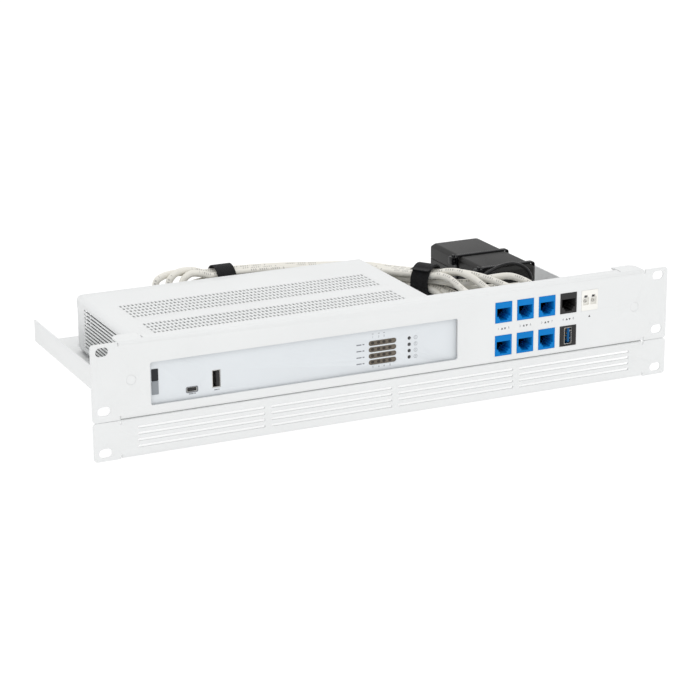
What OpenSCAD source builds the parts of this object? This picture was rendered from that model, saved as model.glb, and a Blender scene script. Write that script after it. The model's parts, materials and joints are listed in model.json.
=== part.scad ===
/* [Rack panels] */
// Width of both panels, a 19-inch rack front
panel_w = 482.6; // [482.2:0.1:483]
// Height of both panels together, two rack units
panel_h = 88.1; // [87.8:0.1:88.4]
// Height of the slotted vent panel below
vent_h = 29.2; // [29:0.1:29.3]
// Thickness of the panel sheet
panel_t = 1.5; // [1.4:0.1:1.6]
// Depth of the folded top edge
lip_d = 10.5; // [9:0.5:12]
// Depth of the two tabs at the ends of the top edge
lip_tab_d = 18; // [15:0.5:20]

/* [Rack slots] */
// Distance between the slots of the two ears
slot_span_x = 465.1; // [465:0.1:465.2]
// Distance between the top and bottom slots
slot_span_z = 76.2; // [76.1:0.1:76.3]
// Length of a slot, end to end
slot_l = 10; // [9:0.5:11]
// Height of a slot
slot_h = 7; // [6.5:0.1:7.2]

/* [Tray] */
// Depth of the tray behind the panel
tray_d = 205; // [204:1:215]
// Half of the tray's width over its side walls
tray_half = 219; // [218.5:0.1:219.5]
// Height of the side walls above the panel's bottom edge
wall_top = 50.5; // [48:0.5:54]
// Thickness of the tray sheet
tray_t = 1.2; // [1:0.1:1.3]

/* [Appliance] */
// Left side of the appliance
box_x0 = -196; // [-197:0.5:-195]
// Right side of the appliance
box_x1 = 52; // [51:0.5:53]
// Rear face of the cover
box_y1 = 165.2; // [164.8:0.2:166]
// Top of the appliance above the panel's bottom edge
box_z1 = 78; // [77.5:0.1:78.4]
// Setback of the fascia behind the panel's front
fascia_y = 2.8; // [2.6:0.1:3.2]
// Slots in each side of the cover
side_slots = 11; // [9:1:11]

/* [Couplers] */
// Centre of the first coupler column
coupler_x0 = 93.2; // [92.8:0.1:93.6]
// Distance between coupler columns
coupler_pitch = 19.2; // [19:0.1:19.3]
// Height of the upper coupler row
row_top_z = 69.7; // [69.4:0.1:70]
// Height of the lower coupler row
row_low_z = 43.1; // [42.8:0.1:43.4]
// Width of a coupler's face
face_w = 14.7; // [14.5:0.1:14.8]
// Height of a coupler's face
face_h = 16.5; // [16.3:0.1:16.6]

/* [Power adapter] */
// Left side of the power adapter
brick_x0 = 134; // [133:0.5:135]
// Width of the power adapter
brick_w = 47; // [46:0.5:48]
// Front face of the power adapter
brick_y0 = 105; // [104:0.5:106]
// Length of the power adapter
brick_l = 100; // [98:1:100]
// Underside of the power adapter
brick_z0 = 38; // [37.8:0.1:38.2]
// Height of the power adapter
brick_h = 34.5; // [34:0.1:35]
// Height of the lower shell
brick_split = 21.5; // [20:0.5:23]

/* [Cables] */
// Diameter of a patch cable
cable_d = 5.6; // [5.4:0.1:5.7]
// Diameter of the adapter's lead
lead_d = 3; // [2.8:0.1:3.2]
// Distance between neighbouring cables in the bundle
lane = 5.9; // [5.9:0.1:6]

/* [Hidden] */
$fn = 40;
eps = 0.01;

// Derived sizes
upper_z = vent_h + 0.4;              // bottom edge of the upper panel
slot_low_z = (panel_h - slot_span_z) / 2;
slot_mid_z = slot_low_z + 31.75;     // middle slot of the upper panel
fold_x = 220.3;                      // half width of the folded edges
bend_r = 2.2;                        // outside radius of a fold
tab_x = 200;                         // start of the deeper end tabs
floor_z = upper_z + panel_t;         // underside of the tray floor
deck_z = floor_z + tray_t;           // top of the tray floor
stud_x = 211.3;
stud_z = 58.7;
opening_at = [-196.7, 37];           // lower left corner of the opening for the appliance
opening_w = 250.2;
opening_h = 32.8;
box_z0 = deck_z + 1.7;               // underside of the appliance, on its feet
cover_t = 1.2;
cover_y0 = 8;                        // front edge of the cover
cover_r = 4.5;                       // rounded long edges of the cover
fascia_x0 = box_x0 - 1.3;
fascia_x1 = box_x1 + 1.7;
fascia_t = 2.4;
back_y = box_y1 - cover_t;           // outside of the rear wall
board_z = box_z0 + 6.5;
board_t = 1.6;
board_top = board_z + board_t;
port_z = 49;                         // centre height of the rear sockets
port_xs = [for (i = [0:6]) -108 + 17 * i];
rear_usb_x = 16;
jack_x = 36;
sfp_x = -132;
port_block_w = 119;
cover_screw_xs = [-180, -72, 40];
cover_screw_z = box_z1 - 5;
board_points = [[-184, 26], [-184, 88], [40, 26], [40, 128], [-70, 26], [-184, 154]];
reset_x = -148;
reset_z = 45;
window_zs = [for (i = [0:3]) 59 - 5 * i];
window_xc = -9.3;
window_l = 23.3;
window_h = 4;
lights_z = 51.5;                     // middle height of the windows and lights
status_x = 13.2;
front_usb_x = -144.5;
front_usb_z = 49.3;
service_x = -163.8;
service_z = 43.8;
fan_y = 120;
fan_z = 56;
fan_w = 40;
fan_x0 = box_x0 + 2 * cover_t + 0.3;
fan_d = 20;
coupler_y0 = -0.3;                   // front of the couplers
coupler_d = 33;                      // depth of a coupler
socket_w = 11.8;
socket_h = 6.6;
plug_w = 11.6;
plug_h = 6.4;
boot_end = 188;                      // where cables leave the plugs at the appliance
coupler_boot_end = 57;               // where cables leave the plugs at the couplers
brick_xc = brick_x0 + brick_w / 2;
brick_y1 = brick_y0 + brick_l;
bracket_x = [brick_x0 + 2, brick_x0 + brick_w - 2];
bracket_y = [brick_y0 + 4, brick_y1 - 4];
rivet_points = concat(
    [for (x = [bracket_x[0] - 7, bracket_x[1] + 7], y = [bracket_y[0] + 10, bracket_y[1] - 10])
        [x, y]],
    [for (x = [-186, -166]) [x, 174]]);
panel_screw_xs = [-207, 70, 207];    // screws that join the two panels and the tray
tie_ys = [brick_y0 + 5.5, brick_y0 + 50];
lead_x = 167;
lead_z = 46;
inlet_z = 49;                        // middle of the mains inlet
ring_in = 11.8;                      // inside radius of a strap's ring
strap_t = 1.6;

white = [0.93, 0.93, 0.92];
blue = [0.06, 0.47, 0.82];
black = [0.13, 0.13, 0.14];
steel = [0.75, 0.76, 0.78];
ivory = [0.86, 0.85, 0.81];

// Middle line of the cable bundle, from the left strap to the right one
trunk = [
    [-78, 184, 70], [-62, 184, 70], [-45, 184, 69.5], [-25, 184, 68.5], [-5, 184, 67],
    [15, 184, 65], [30, 183.5, 63.5], [46, 180, 62.8], [59, 171, 62.5], [67, 157, 63],
    [71, 142, 65], [73, 128, 67.5], [76.4, 114.1, 70], [85.6, 100.9, 70.5],
];

// Part of the bundle's line from point k on, moved outwards by a and up by b
function side(k) = let(d = trunk[min(k + 1, len(trunk) - 1)] - trunk[max(k - 1, 0)])
    [-d[1], d[0], 0] / norm([d[0], d[1]]);
function strand(k, a, b) = [for (i = [k:len(trunk) - 1]) trunk[i] + a * side(i) + [0, 0, b]];

// Routes of the cables, from the plug at the appliance to the plug at the coupler
route_1 = concat(
    [[-108, 188, 49], [-108, 194, 49.2], [-106.3, 199.3, 51.2], [-100.5, 202, 55.5],
     [-94, 198.5, 59], [-89, 190.5, 60.5], [-83, 183.3, 61.8], [-74, 178.7, 63.8]],
    strand(1, -lane, -lane),
    [[84.5, 91.5, 61.3], [88.5, 83, 54.5], [91.6, 74, 47.5], [93.1, 65, 43.8], [93.2, 57, 43.1]]);
route_2 = concat(
    [[-91, 188, 49], [-91, 194, 49.8], [-90, 199.3, 53], [-87, 201.5, 58], [-82.5, 198.5, 62.3],
     [-77, 192, 64.2], [-70, 186, 64.1]],
    strand(1, 0, -lane),
    [[91.3, 93.3, 61.3], [98.5, 86, 55.3], [106, 78, 48.5], [111.2, 68, 44], [112.4, 57, 43.1]]);
route_3 = concat(
    [[-74, 188, 49], [-73.5, 193.5, 49.5], [-70, 199, 52], [-63, 201, 55.5], [-56, 198.5, 59.5],
     [-50, 193.5, 62.5], [-41, 190.3, 62.8]],
    strand(3, lane, -lane),
    [[98.3, 96, 60.5], [108.5, 88.5, 55.3], [119.5, 80.5, 49], [128.6, 69.5, 44.2],
     [131.6, 57, 43.1]]);
route_4 = concat(
    [[-57, 188, 49], [-56, 194, 50], [-52, 199.5, 53], [-47, 202.5, 58.5], [-46.5, 201.5, 65],
     [-51, 197, 69.6], [-61, 191.3, 70], [-76, 190, 69.8], [-92, 190, 67.3], [-103, 190, 62.8],
     [-113, 190, 61.8], [-120.3, 190, 65.5], [-120.3, 190, 73.4], [-113, 190, 77.5],
     [-102, 190, 78.4], [-90, 190, 77]],
    strand(0, lane, lane),
    [[97, 94.5, 78.2], [105.5, 86, 78.2], [116, 76.5, 76], [126, 67, 72.2], [131.6, 57, 69.7]]);
route_5 = concat(
    [[-40, 188, 49], [-40, 194.5, 50], [-38.5, 200.5, 54.5], [-37, 201, 61.5], [-38.5, 196, 67],
     [-47, 188, 69.5], [-60, 184.2, 69.9], [-74, 183.8, 69.7], [-85, 183.5, 67.5],
     [-94, 183, 62.6], [-103, 183, 61.5], [-110.5, 183.5, 66], [-111.5, 184, 74],
     [-104.5, 184, 80.5], [-93, 184, 81], [-84, 184, 78.3]],
    strand(0, 0, lane),
    [[91, 92.5, 79.8], [98, 83, 80.8], [105, 74, 77.5], [110.5, 65.5, 72.2], [112.4, 57, 69.7]]);
route_6 = concat(
    [[-23, 188, 49], [-23, 194, 50.5], [-22, 199, 55.5], [-22, 199, 62], [-25, 193.8, 67.3],
     [-31, 187, 68.6], [-41, 180, 69], [-56, 178.1, 69.9], [-70, 178, 70.1], [-80, 177.3, 68],
     [-88, 176.8, 63.5], [-95, 177, 61.5], [-102, 177.5, 66], [-102.5, 178, 74], [-96, 178, 79.5],
     [-87, 178.2, 78.8]],
    strand(0, -lane, lane),
    [[84.8, 90.3, 77.6], [88.8, 81.5, 76.6], [91.9, 72.5, 72.6], [93.2, 64.5, 70.2],
     [93.2, 57, 69.7]]);
console_route = concat(
    [[-6, 188, 49], [-6, 194, 50.5], [-4, 199, 55], [-1, 199, 61], [5, 193, 65], [13, 187, 65.3]],
    strand(6, 0, 0),
    [[92.5, 94, 70.4], [101.5, 89.5, 70], [113, 85, 70.5], [126, 79.5, 73.5], [138, 71.5, 75.5],
     [147, 63.5, 72.5], [150.8, 57, 69.7]]);
usb_route = concat(
    [[16, 190, 49], [16, 196, 51], [18, 200.5, 55], [22.5, 200.5, 60.5], [29, 195.5, 63.2],
     [37, 190.3, 62.8]],
    strand(7, lane, 0),
    [[98.7, 98, 67.5], [109, 92.5, 64.5], [124, 87, 63.5], [140, 82, 63.5], [156, 77.5, 64],
     [168, 75, 62], [177, 73.5, 56], [177, 72.5, 47.5], [168, 72, 42.8], [157, 70, 42.8],
     [151.6, 64, 43], [150.8, 57, 43.1]]);
lead_route = [
    [167, 97, 46], [167, 92, 46], [167.2, 88, 49], [167.5, 86.8, 54.5], [168, 88, 61],
    [167.8, 90, 67.5], [165, 92, 73], [159, 94, 77], [151, 95.5, 78.3], [142, 97, 76.5],
    [132, 99, 71.5], [122, 102, 65], [113, 109, 59], [106, 121, 54.5], [99, 137, 52],
    [91, 154, 51], [82, 170, 50], [73, 183, 50], [62, 193, 49.5], [51, 198, 49], [43, 197.6, 49],
    [37.3, 194, 49], [36, 188, 49],
];

// Heights above count from the bottom edge of the panels; the origin is in the middle
module lowered() translate([0, 0, -panel_h / 2]) children();

// A flat outline in X and Z, made solid from y0 backwards
module along_y(y0, l) translate([0, y0 + l, 0]) rotate([90, 0, 0]) linear_extrude(l) children();

// A flat outline in Y and Z, made solid from x0 to the right
module along_x(x0, l) translate([x0, 0, 0]) rotate([90, 0, 90]) linear_extrude(l) children();

// Rectangle from the origin with round corners
module round_rect(w, h, r) {
    translate([r, 0]) square([w - 2 * r, h]);
    translate([0, r]) square([w, h - 2 * r]);
    for (x = [r, w - r], y = [r, h - r]) translate([x, y]) circle(r);
}

// The same, about its centre
module centred_rect(w, h, r) translate([-w / 2, -h / 2]) round_rect(w, h, r);

// Slot with round ends, lying along X
module stadium(l, h) {
    square([l - h, h], center = true);
    for (s = [-1, 1]) translate([s * (l - h) / 2, 0]) circle(d = h);
}

// Edge view of a sheet folded back at its top and bottom
module folded(z0, z1, top_d, low_d) difference() {
    translate([0, z0]) round_rect(top_d + low_d, z1 - z0, bend_r);
    translate([panel_t, z0 + panel_t])
        round_rect(top_d + low_d, z1 - z0 - 2 * panel_t, bend_r - panel_t);
    translate([top_d, (z0 + z1) / 2]) square([top_d + low_d, z1 - z0]);
    translate([low_d, z0 - 1]) square([top_d + low_d, (z1 - z0) / 2 + 2]);
}

// Holes for the rack's bolts at one height
module rack_slots(z) for (s = [-1, 1]) translate([s * slot_span_x / 2, z]) stadium(slot_l, slot_h);

// Round tube along a smooth line through the route's points
function bow(p, i, t) = let(a = p[max(i - 1, 0)], b = p[i], c = p[i + 1],
    d = p[min(i + 2, len(p) - 1)])
    0.5 * (2 * b + (c - a) * t + (2 * a - 5 * b + 4 * c - d) * t * t
        + (3 * b - a - 3 * c + d) * t * t * t);
function eased(p, n) = concat([for (i = [0:len(p) - 2], j = [0:n - 1]) bow(p, i, j / n)],
    [p[len(p) - 1]]);
function unit(v) = v / norm(v);
function heading(p, i) = unit(p[min(i + 1, len(p) - 1)] - p[max(i - 1, 0)]);
function carried(p, i, n) = let(h = heading(p, i), m = unit(n - (n * h) * h))
    i == len(p) - 1 ? [m] : concat([m], carried(p, i + 1, m));
module tube(route, d, n = 1, sides = 8) {
    p = eased(route, n);
    up = carried(p, 0, abs(heading(p, 0)[2]) < 0.9 ? [0, 0, 1] : [1, 0, 0]);
    rings = len(p);
    points = [for (i = [0:rings - 1], k = [0:sides - 1])
        let(w = cross(heading(p, i), up[i]), a = 360 * k / sides)
        p[i] + d / 2 * (cos(a) * up[i] + sin(a) * w)];
    walls = [for (i = [0:rings - 2], k = [0:sides - 1])
        let(a = i * sides + k, b = i * sides + (k + 1) % sides)
        each [[a, a + sides, b], [b, a + sides, b + sides]]];
    ends = [[for (k = [0:sides - 1]) k],
        [for (k = [0:sides - 1]) rings * sides - 1 - k]];
    polyhedron(points, concat(walls, ends));
}

// ---- rack kit ----
module coupler_cells(top_n, low_n) {
    for (i = [0:top_n - 1]) translate([coupler_x0 + coupler_pitch * i, row_top_z]) children();
    for (i = [0:low_n - 1]) translate([coupler_x0 + coupler_pitch * i, row_low_z]) children();
}

module front_panel() color(white) lowered() {
    relief_w = 1.2;
    difference() {
        union() {
            along_x(-fold_x, 2 * fold_x) folded(upper_z, panel_h, lip_d, 20);
            along_y(0, panel_t) difference() {
                translate([-panel_w / 2, upper_z]) round_rect(panel_w, panel_h - upper_z, 2.5);
                translate([-fold_x, 0]) square([2 * fold_x, panel_h + 1]);
            }
            for (s = [-1, 1]) difference() {
                translate([s > 0 ? tab_x : -fold_x, 5, panel_h - panel_t])
                    cube([fold_x - tab_x, lip_tab_d - 5, panel_t]);
                translate([s * fold_x, lip_tab_d, panel_h]) rotate([0, 0, 45])
                    cube([6, 6, 8], center = true);
            }
        }
        along_y(-1, panel_t + 2) {
            translate(opening_at) round_rect(opening_w, opening_h, 2);
            coupler_cells(5, 4) square([face_w + 0.2, face_h + 0.2], center = true);
            rack_slots(panel_h - slot_low_z);
            rack_slots(slot_mid_z);
            for (s = [-1, 1]) translate([s * stud_x, stud_z]) circle(d = 5);
        }
        for (s = [-1, 1]) {
            translate([s * stud_x, -1, stud_z]) rotate([-90, 0, 0]) cylinder(d = 7.4, h = 2);
            for (z = [panel_h - 3, upper_z - 1])
                translate([s * fold_x - relief_w / 2, -1, z]) cube([relief_w, 30, 4]);
            translate([s * tab_x - relief_w / 2, 4, panel_h - 2]) cube([relief_w, lip_d, 4]);
        }
        for (x = panel_screw_xs) translate([x, 12, upper_z - 1]) cylinder(d = 4.2, h = 4);
    }
}

module vent_panel() color(white) lowered() difference() {
    union() {
        along_x(-fold_x, 2 * fold_x) folded(0, vent_h, 18, 12);
        along_y(0, panel_t) difference() {
            translate([-panel_w / 2, 0]) round_rect(panel_w, vent_h, 2.5);
            translate([-fold_x, -1]) square([2 * fold_x, vent_h + 2]);
        }
    }
    along_y(-1, panel_t + 2) {
        rack_slots(slot_low_z);
        for (x = [-157.5, -52.5, 52.5, 157.5], z = [22.2, 17.35, 12.5, 7.65])
            translate([x, z]) stadium(100, 2);
    }
    for (s = [-1, 1], z = [vent_h - 3, -1])
        translate([s * fold_x - 0.6, -1, z]) cube([1.2, 30, 4]);
    for (x = panel_screw_xs) translate([x, 12, vent_h - 2]) cylinder(d = 4.2, h = 4);
}

module tray() color(white) lowered() difference() {
    union() {
        along_y(panel_t, tray_d - panel_t) difference() {
            translate([-tray_half, floor_z]) round_rect(2 * tray_half, 60, 2.4);
            translate([-tray_half + tray_t, deck_z])
                round_rect(2 * (tray_half - tray_t), 80, 1.2);
            translate([-tray_half - 1, wall_top]) square([2 * tray_half + 2, 80]);
        }
        for (s = [-1, 1]) {
            along_x(s > 0 ? tray_half - tray_t : -tray_half, tray_t)
                polygon([[panel_t, 40], [34, 40], [34, wall_top], [16, 68], [panel_t, 68]]);
            along_y(panel_t, tray_t) translate([s > 0 ? 203.5 : -tray_half, 34])
                square([tray_half - 203.5, 34]);
        }
    }
    translate([-tray_half - 1, 0, floor_z - 1]) cube([2 * tray_half + 2, panel_t + 1, 4]);
    along_y(0, 5) for (s = [-1, 1]) translate([s * stud_x, stud_z]) circle(d = 4.2);
    for (x = panel_screw_xs) translate([x, 12, floor_z - 1]) cylinder(d = 4.2, h = 4);
    for (p = rivet_points) translate([p[0], p[1], floor_z - 1]) cylinder(d = 3.2, h = 4);
    // ventilation slots under the appliance and tie-down slots at the rear
    for (i = [0:7], y = [50, 75, 100, 125]) translate([-170 + 28 * i, y, floor_z - 1])
        linear_extrude(4) stadium(20, 4);
    for (i = [0:5]) translate([-130 + 40 * i, 194, floor_z - 1])
        linear_extrude(4) stadium(18, 4);
}

module panel_studs() color(steel) lowered() for (s = [-1, 1])
    translate([s * stud_x, 0, stud_z]) rotate([-90, 0, 0]) {
        cylinder(d = 7.4, h = 1);
        cylinder(d = 5, h = panel_t);
        cylinder(d = 4, h = 12);
    }

module hex_nut() difference() {
    union() {
        cylinder(d = 8.1, h = 3.2, $fn = 6);
        cylinder(d = 9, h = 0.9);
    }
    translate([0, 0, -1]) cylinder(d = 4, h = 6);
}

module lock_nuts() color(steel) lowered() {
    for (s = [-1, 1]) translate([s * stud_x, panel_t + tray_t, stud_z]) rotate([-90, 0, 0])
        hex_nut();
    for (x = panel_screw_xs) translate([x, 12, deck_z]) hex_nut();
}

module panel_screws() color(steel) lowered() for (x = panel_screw_xs)
    translate([x, 12, vent_h - panel_t]) {
        translate([0, 0, -2.4]) difference() {
            cylinder(d = 7.6, h = 2.4);
            translate([0, 0, -1]) cylinder(d = 3.4, h = 2.4, $fn = 6);
        }
        cylinder(d = 4, h = 9);
    }

module rivets() color(steel) lowered() for (p = rivet_points)
    translate([p[0], p[1], 0]) {
        translate([0, 0, deck_z + tray_t]) cylinder(d1 = 6.2, d2 = 4, h = 1);
        translate([0, 0, floor_z]) cylinder(d = 3.2, h = 2 * tray_t + 0.5);
        translate([0, 0, floor_z - 1.2]) cylinder(d = 4.6, h = 1.2);
    }

module adapter_bracket() color(white) lowered() {
    foot = 13;
    top = brick_z0 - tray_t;
    difference() {
        along_y(bracket_y[0], bracket_y[1] - bracket_y[0]) {
            translate([bracket_x[0], top]) square([bracket_x[1] - bracket_x[0], tray_t]);
            for (x = [bracket_x[0], bracket_x[1] - tray_t])
                translate([x, deck_z]) square([tray_t, brick_z0 - deck_z]);
            translate([bracket_x[0] - foot, deck_z]) square([foot + tray_t, tray_t]);
            translate([bracket_x[1] - tray_t, deck_z]) square([foot + tray_t, tray_t]);
        }
        for (y = tie_ys) translate([bracket_x[0] - foot - 1, y - 4, deck_z + tray_t + eps])
            cube([brick_w + 2 * foot, 8, top - deck_z - tray_t]);
        for (p = rivet_points) translate([p[0], p[1], deck_z - 1]) cylinder(d = 3.2, h = 4);
    }
}

module rear_stops() color(white) lowered() difference() {
    along_x(-191, 30) {
        translate([box_y1 + 0.3, deck_z]) square([tray_t, 16]);
        translate([box_y1 + 0.3, deck_z]) square([16, tray_t]);
    }
    for (p = rivet_points) translate([p[0], p[1], deck_z - 1]) cylinder(d = 3.2, h = 4);
}

// ---- front couplers ----
// Mouth of an RJ45 socket, latch side down
module socket_mouth() {
    square([socket_w, socket_h], center = true);
    translate([-4.3, -socket_h / 2 - 1.6]) square([8.6, 2]);
    translate([-3.1, -socket_h / 2 - 3.3]) square([6.2, 4]);
}

module data_coupler(x, z) lowered() translate([x, 0, z]) difference() {
    union() {
        along_y(coupler_y0, 11) square([face_w, face_h], center = true);
        along_y(coupler_y0 + 11, coupler_d - 11) square([face_w - 0.4, face_h - 2], center = true);
        // snap arm above, hook below
        translate([-4, 2, face_h / 2 - 1]) cube([8, 16, 2.2]);
        translate([-4, 2.2, -face_h / 2 - 1]) cube([8, 3, 2]);
    }
    along_y(coupler_y0 - 1, 15) socket_mouth();
    along_y(coupler_y0 + coupler_d - 14, 15) square([socket_w, socket_h + 0.2], center = true);
    translate([-5, 5.5, face_h / 2 - 1 - eps]) cube([10, 11, 0.9]);
}

module data_coupler_1() color(blue) data_coupler(coupler_x0, row_top_z);
module data_coupler_2() color(blue) data_coupler(coupler_x0 + coupler_pitch, row_top_z);
module data_coupler_3() color(blue) data_coupler(coupler_x0 + 2 * coupler_pitch, row_top_z);
module data_coupler_4() color(blue) data_coupler(coupler_x0, row_low_z);
module data_coupler_5() color(blue) data_coupler(coupler_x0 + coupler_pitch, row_low_z);
module data_coupler_6() color(blue) data_coupler(coupler_x0 + 2 * coupler_pitch, row_low_z);
module console_coupler() color(black) data_coupler(coupler_x0 + 3 * coupler_pitch, row_top_z);

module usb_coupler() color(black) lowered()
    translate([coupler_x0 + 3 * coupler_pitch, 0, row_low_z]) difference() {
        union() {
            along_y(coupler_y0, 11) square([face_w, face_h], center = true);
            along_y(coupler_y0 + 11, coupler_d - 11)
                square([face_w - 0.4, face_h - 2], center = true);
            translate([-4, 2, face_h / 2 - 1]) cube([8, 16, 2.2]);
            translate([-4, 2.2, -face_h / 2 - 1]) cube([8, 3, 2]);
        }
        along_y(coupler_y0 - 1, coupler_d + 2) square([6.6, 13.4], center = true);
    }

module usb_coupler_shell() color(steel) lowered()
    translate([coupler_x0 + 3 * coupler_pitch, 0, row_low_z]) {
        along_y(coupler_y0 + 0.3, coupler_d - 0.6) difference() {
            square([6.6, 13.4], center = true);
            square([5.8, 12.6], center = true);
        }
        translate([0.3, coupler_y0 + 1.5, -5.6]) cube([1.9, coupler_d - 16, 11.2]);
        translate([-2.9, 14, -6.3]) cube([5.8, 2, 12.6]);
    }

module fibre_adapter() color([0.93, 0.91, 0.86]) lowered()
    translate([coupler_x0 + 4 * coupler_pitch, 0, row_top_z]) {
        difference() {
            union() {
                along_y(coupler_y0, 11) square([face_w, face_h], center = true);
                along_y(coupler_y0 + 11, 19) square([face_w - 0.6, 11], center = true);
                translate([-4, 2, face_h / 2 - 1]) cube([8, 14, 2.2]);
                translate([-4, 2.2, -face_h / 2 - 1]) cube([8, 3, 2]);
            }
            for (s = [-1, 1]) {
                along_y(coupler_y0 - 1, 12) translate([s * 3.4, -0.6])
                    square([5.4, 6.2], center = true);
                along_y(coupler_y0 - 1, 12) translate([s * 3.4, 3.2])
                    square([3.2, 2], center = true);
                along_y(21, 12) translate([s * 3.4, -0.6]) square([5.4, 6.2], center = true);
            }
        }
        for (s = [-1, 1]) translate([s * 3.4, 5, -0.6]) rotate([-90, 0, 0]) difference() {
            cylinder(d = 3, h = 6);
            translate([0, 0, -1]) cylinder(d = 1.3, h = 6);
        }
    }

module coupler_contacts() color("gold") lowered()
    for (i = [0:3], z = [row_top_z, row_low_z]) if (!(i == 3 && z == row_low_z))
        translate([coupler_x0 + coupler_pitch * i, 0, z]) for (k = [0:7])
            translate([(k - 3.5) * 1.02 - 0.2, 4.5, 3.25])
                rotate([-12, 0, 0]) translate([0, 0, -0.4]) cube([0.4, 8.4, 0.4]);

// ---- appliance ----
module chassis_base() color([0.8, 0.81, 0.82]) lowered() {
    x0 = box_x0 + cover_t + 0.1;
    x1 = box_x1 - cover_t - 0.1;
    difference() {
        union() {
            translate([x0, cover_y0, box_z0]) cube([x1 - x0, back_y - cover_y0, cover_t]);
            translate([x0, cover_y0, box_z0]) cube([x1 - x0, cover_t, 30]);
            translate([x0 + 3.6, back_y - cover_t, box_z0])
                cube([x1 - x0 - 7.2, cover_t, 42.2]);
            for (x = [x0, x1 - cover_t]) translate([x, cover_y0, box_z0])
                cube([cover_t, back_y - cover_y0, 5]);
            for (p = board_points) translate([p[0], p[1], box_z0]) cylinder(d = 6, h = 6.5);
        }
        for (p = board_points) translate([p[0], p[1], box_z0 + 1.6]) cylinder(d = 2.6, h = 9);
        along_y(back_y - 3, 6) {
            translate([port_xs[0] - 8.6, board_top]) square([port_block_w + 0.2, 14.6]);
            translate([rear_usb_x - 3.6, port_z - 6.9]) square([7.2, 13.8]);
            translate([jack_x - 5.1, port_z - 5.6]) square([10.2, 11.2]);
            translate([sfp_x - 7.4, board_top]) square([14.8, 10.2]);
            translate([reset_x, reset_z]) circle(d = 3.4);
            for (x = cover_screw_xs) translate([x, cover_screw_z]) circle(d = 2.6);
            for (x = [-190:5:-156]) translate([x, 58]) stadium_upright(16, 2.6);
            for (x = [-112:5:30]) translate([x, 66]) stadium_upright(6, 2.6);
        }
        along_y(cover_y0 - 1, 4) {
            translate([front_usb_x, front_usb_z]) square([7.4, 14], center = true);
            translate([service_x, service_z]) square([9, 4.4], center = true);
            translate([window_xc, lights_z]) square([26, 20], center = true);
            translate([status_x, lights_z]) square([5, 20], center = true);
        }
    }
}

module stadium_upright(l, w) rotate(90) stadium(l, w);

module top_cover() color(white) lowered() {
    w = box_x1 - box_x0;
    difference() {
        union() {
            along_y(cover_y0, back_y - cover_y0) cover_outline(w);
            along_y(back_y, cover_t) intersection() {
                translate([box_x0, box_z0 + 2]) round_rect(w, box_z1 - box_z0 - 2, cover_r);
                translate([box_x0, box_z1 - 10]) square([w, 12]);
            }
        }
        for (s = [0, 1], i = [0:side_slots - 1])
            along_x(s == 0 ? box_x0 - 1 : box_x1 - 3, 4)
                translate([103, 70 - 2.95 * i]) stadium(90, 1.5);
        along_y(back_y - 1, 4) for (x = cover_screw_xs) translate([x, cover_screw_z])
            circle(d = 3.2);
    }
}

module cover_outline(w) difference() {
    translate([box_x0, box_z0 - 10]) round_rect(w, box_z1 - box_z0 + 10, cover_r);
    translate([box_x0 + cover_t, box_z0 - 10])
        round_rect(w - 2 * cover_t, box_z1 - box_z0 + 10 - cover_t, cover_r - cover_t);
    translate([box_x0 - 1, box_z0 - 11]) square([w + 2, 13]);
}

module fascia() color([0.89, 0.91, 0.92]) lowered() {
    w = fascia_x1 - fascia_x0;
    z0 = box_z0 - 0.4;
    h = box_z1 + 0.4 - z0;
    difference() {
        along_y(fascia_y, cover_y0 - fascia_y) translate([fascia_x0, z0]) round_rect(w, h, 5);
        along_y(fascia_y + fascia_t, 10) translate([fascia_x0 + 1.8, z0 + 1.8])
            round_rect(w - 3.6, h - 3.6, 3.2);
        along_y(0, 10) {
            translate([front_usb_x, front_usb_z]) square([6.8, 13.6], center = true);
            translate([service_x, service_z]) centred_rect(8.4, 3.6, 0.8);
            for (z = window_zs) {
                translate([window_xc, z]) stadium(window_l, window_h);
                translate([status_x, z]) circle(d = 2.8);
            }
        }
    }
}

module fascia_badge() color([0.3, 0.32, 0.34]) lowered()
    along_y(fascia_y - 0.4, 0.4) translate([-195, 44]) round_rect(5.3, 19.5, 0.6);

module port_light_windows() color([0.35, 0.31, 0.27]) lowered() for (z = window_zs)
    along_y(fascia_y + 0.3, fascia_t) translate([window_xc, z]) stadium(window_l, window_h);

module status_lights() color([0.8, 0.82, 0.82]) lowered() for (z = window_zs)
    translate([status_x, fascia_y + 0.1, z]) rotate([-90, 0, 0]) cylinder(d = 2.8, h = 6);

// USB-A socket standing upright, its mouth at y0 facing the front
module usb_socket(depth) {
    along_y(0, depth) difference() {
        square([6.4, 13.2], center = true);
        square([5.6, 12.4], center = true);
    }
    translate([0.3, 1, -5.6]) cube([1.8, depth - 2, 11.2]);
    translate([-2.8, depth - 1.6, -6.2]) cube([5.6, 1.6, 12.4]);
}

module usb_ports() color(steel) lowered() {
    translate([front_usb_x, fascia_y + 0.3, front_usb_z]) usb_socket(14);
    translate([rear_usb_x, back_y + 0.6, port_z]) rotate([0, 0, 180]) usb_socket(14);
}

module service_port() color(steel) lowered() translate([service_x, fascia_y + 0.4, service_z]) {
    along_y(0, 7) difference() {
        centred_rect(7.8, 3, 0.7);
        centred_rect(7.2, 2.4, 0.5);
    }
    translate([-1.9, 0.6, -0.1]) cube([3.8, 6, 0.7]);
    translate([-3.6, 6, -1.2]) cube([7.2, 1, 2.4]);
}

module main_board() color([0.08, 0.35, 0.2]) lowered() difference() {
    translate([box_x0 + 6, 21, board_z]) cube([236, back_y - cover_t - 21.4, board_t]);
    for (p = board_points) translate([p[0], p[1], board_z - 1]) cylinder(d = 3.2, h = 4);
    translate([fan_x0 - 1, fan_y - fan_w / 2 - 2, board_z - 1]) cube([fan_d + 6, fan_w + 4, 4]);
}

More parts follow.
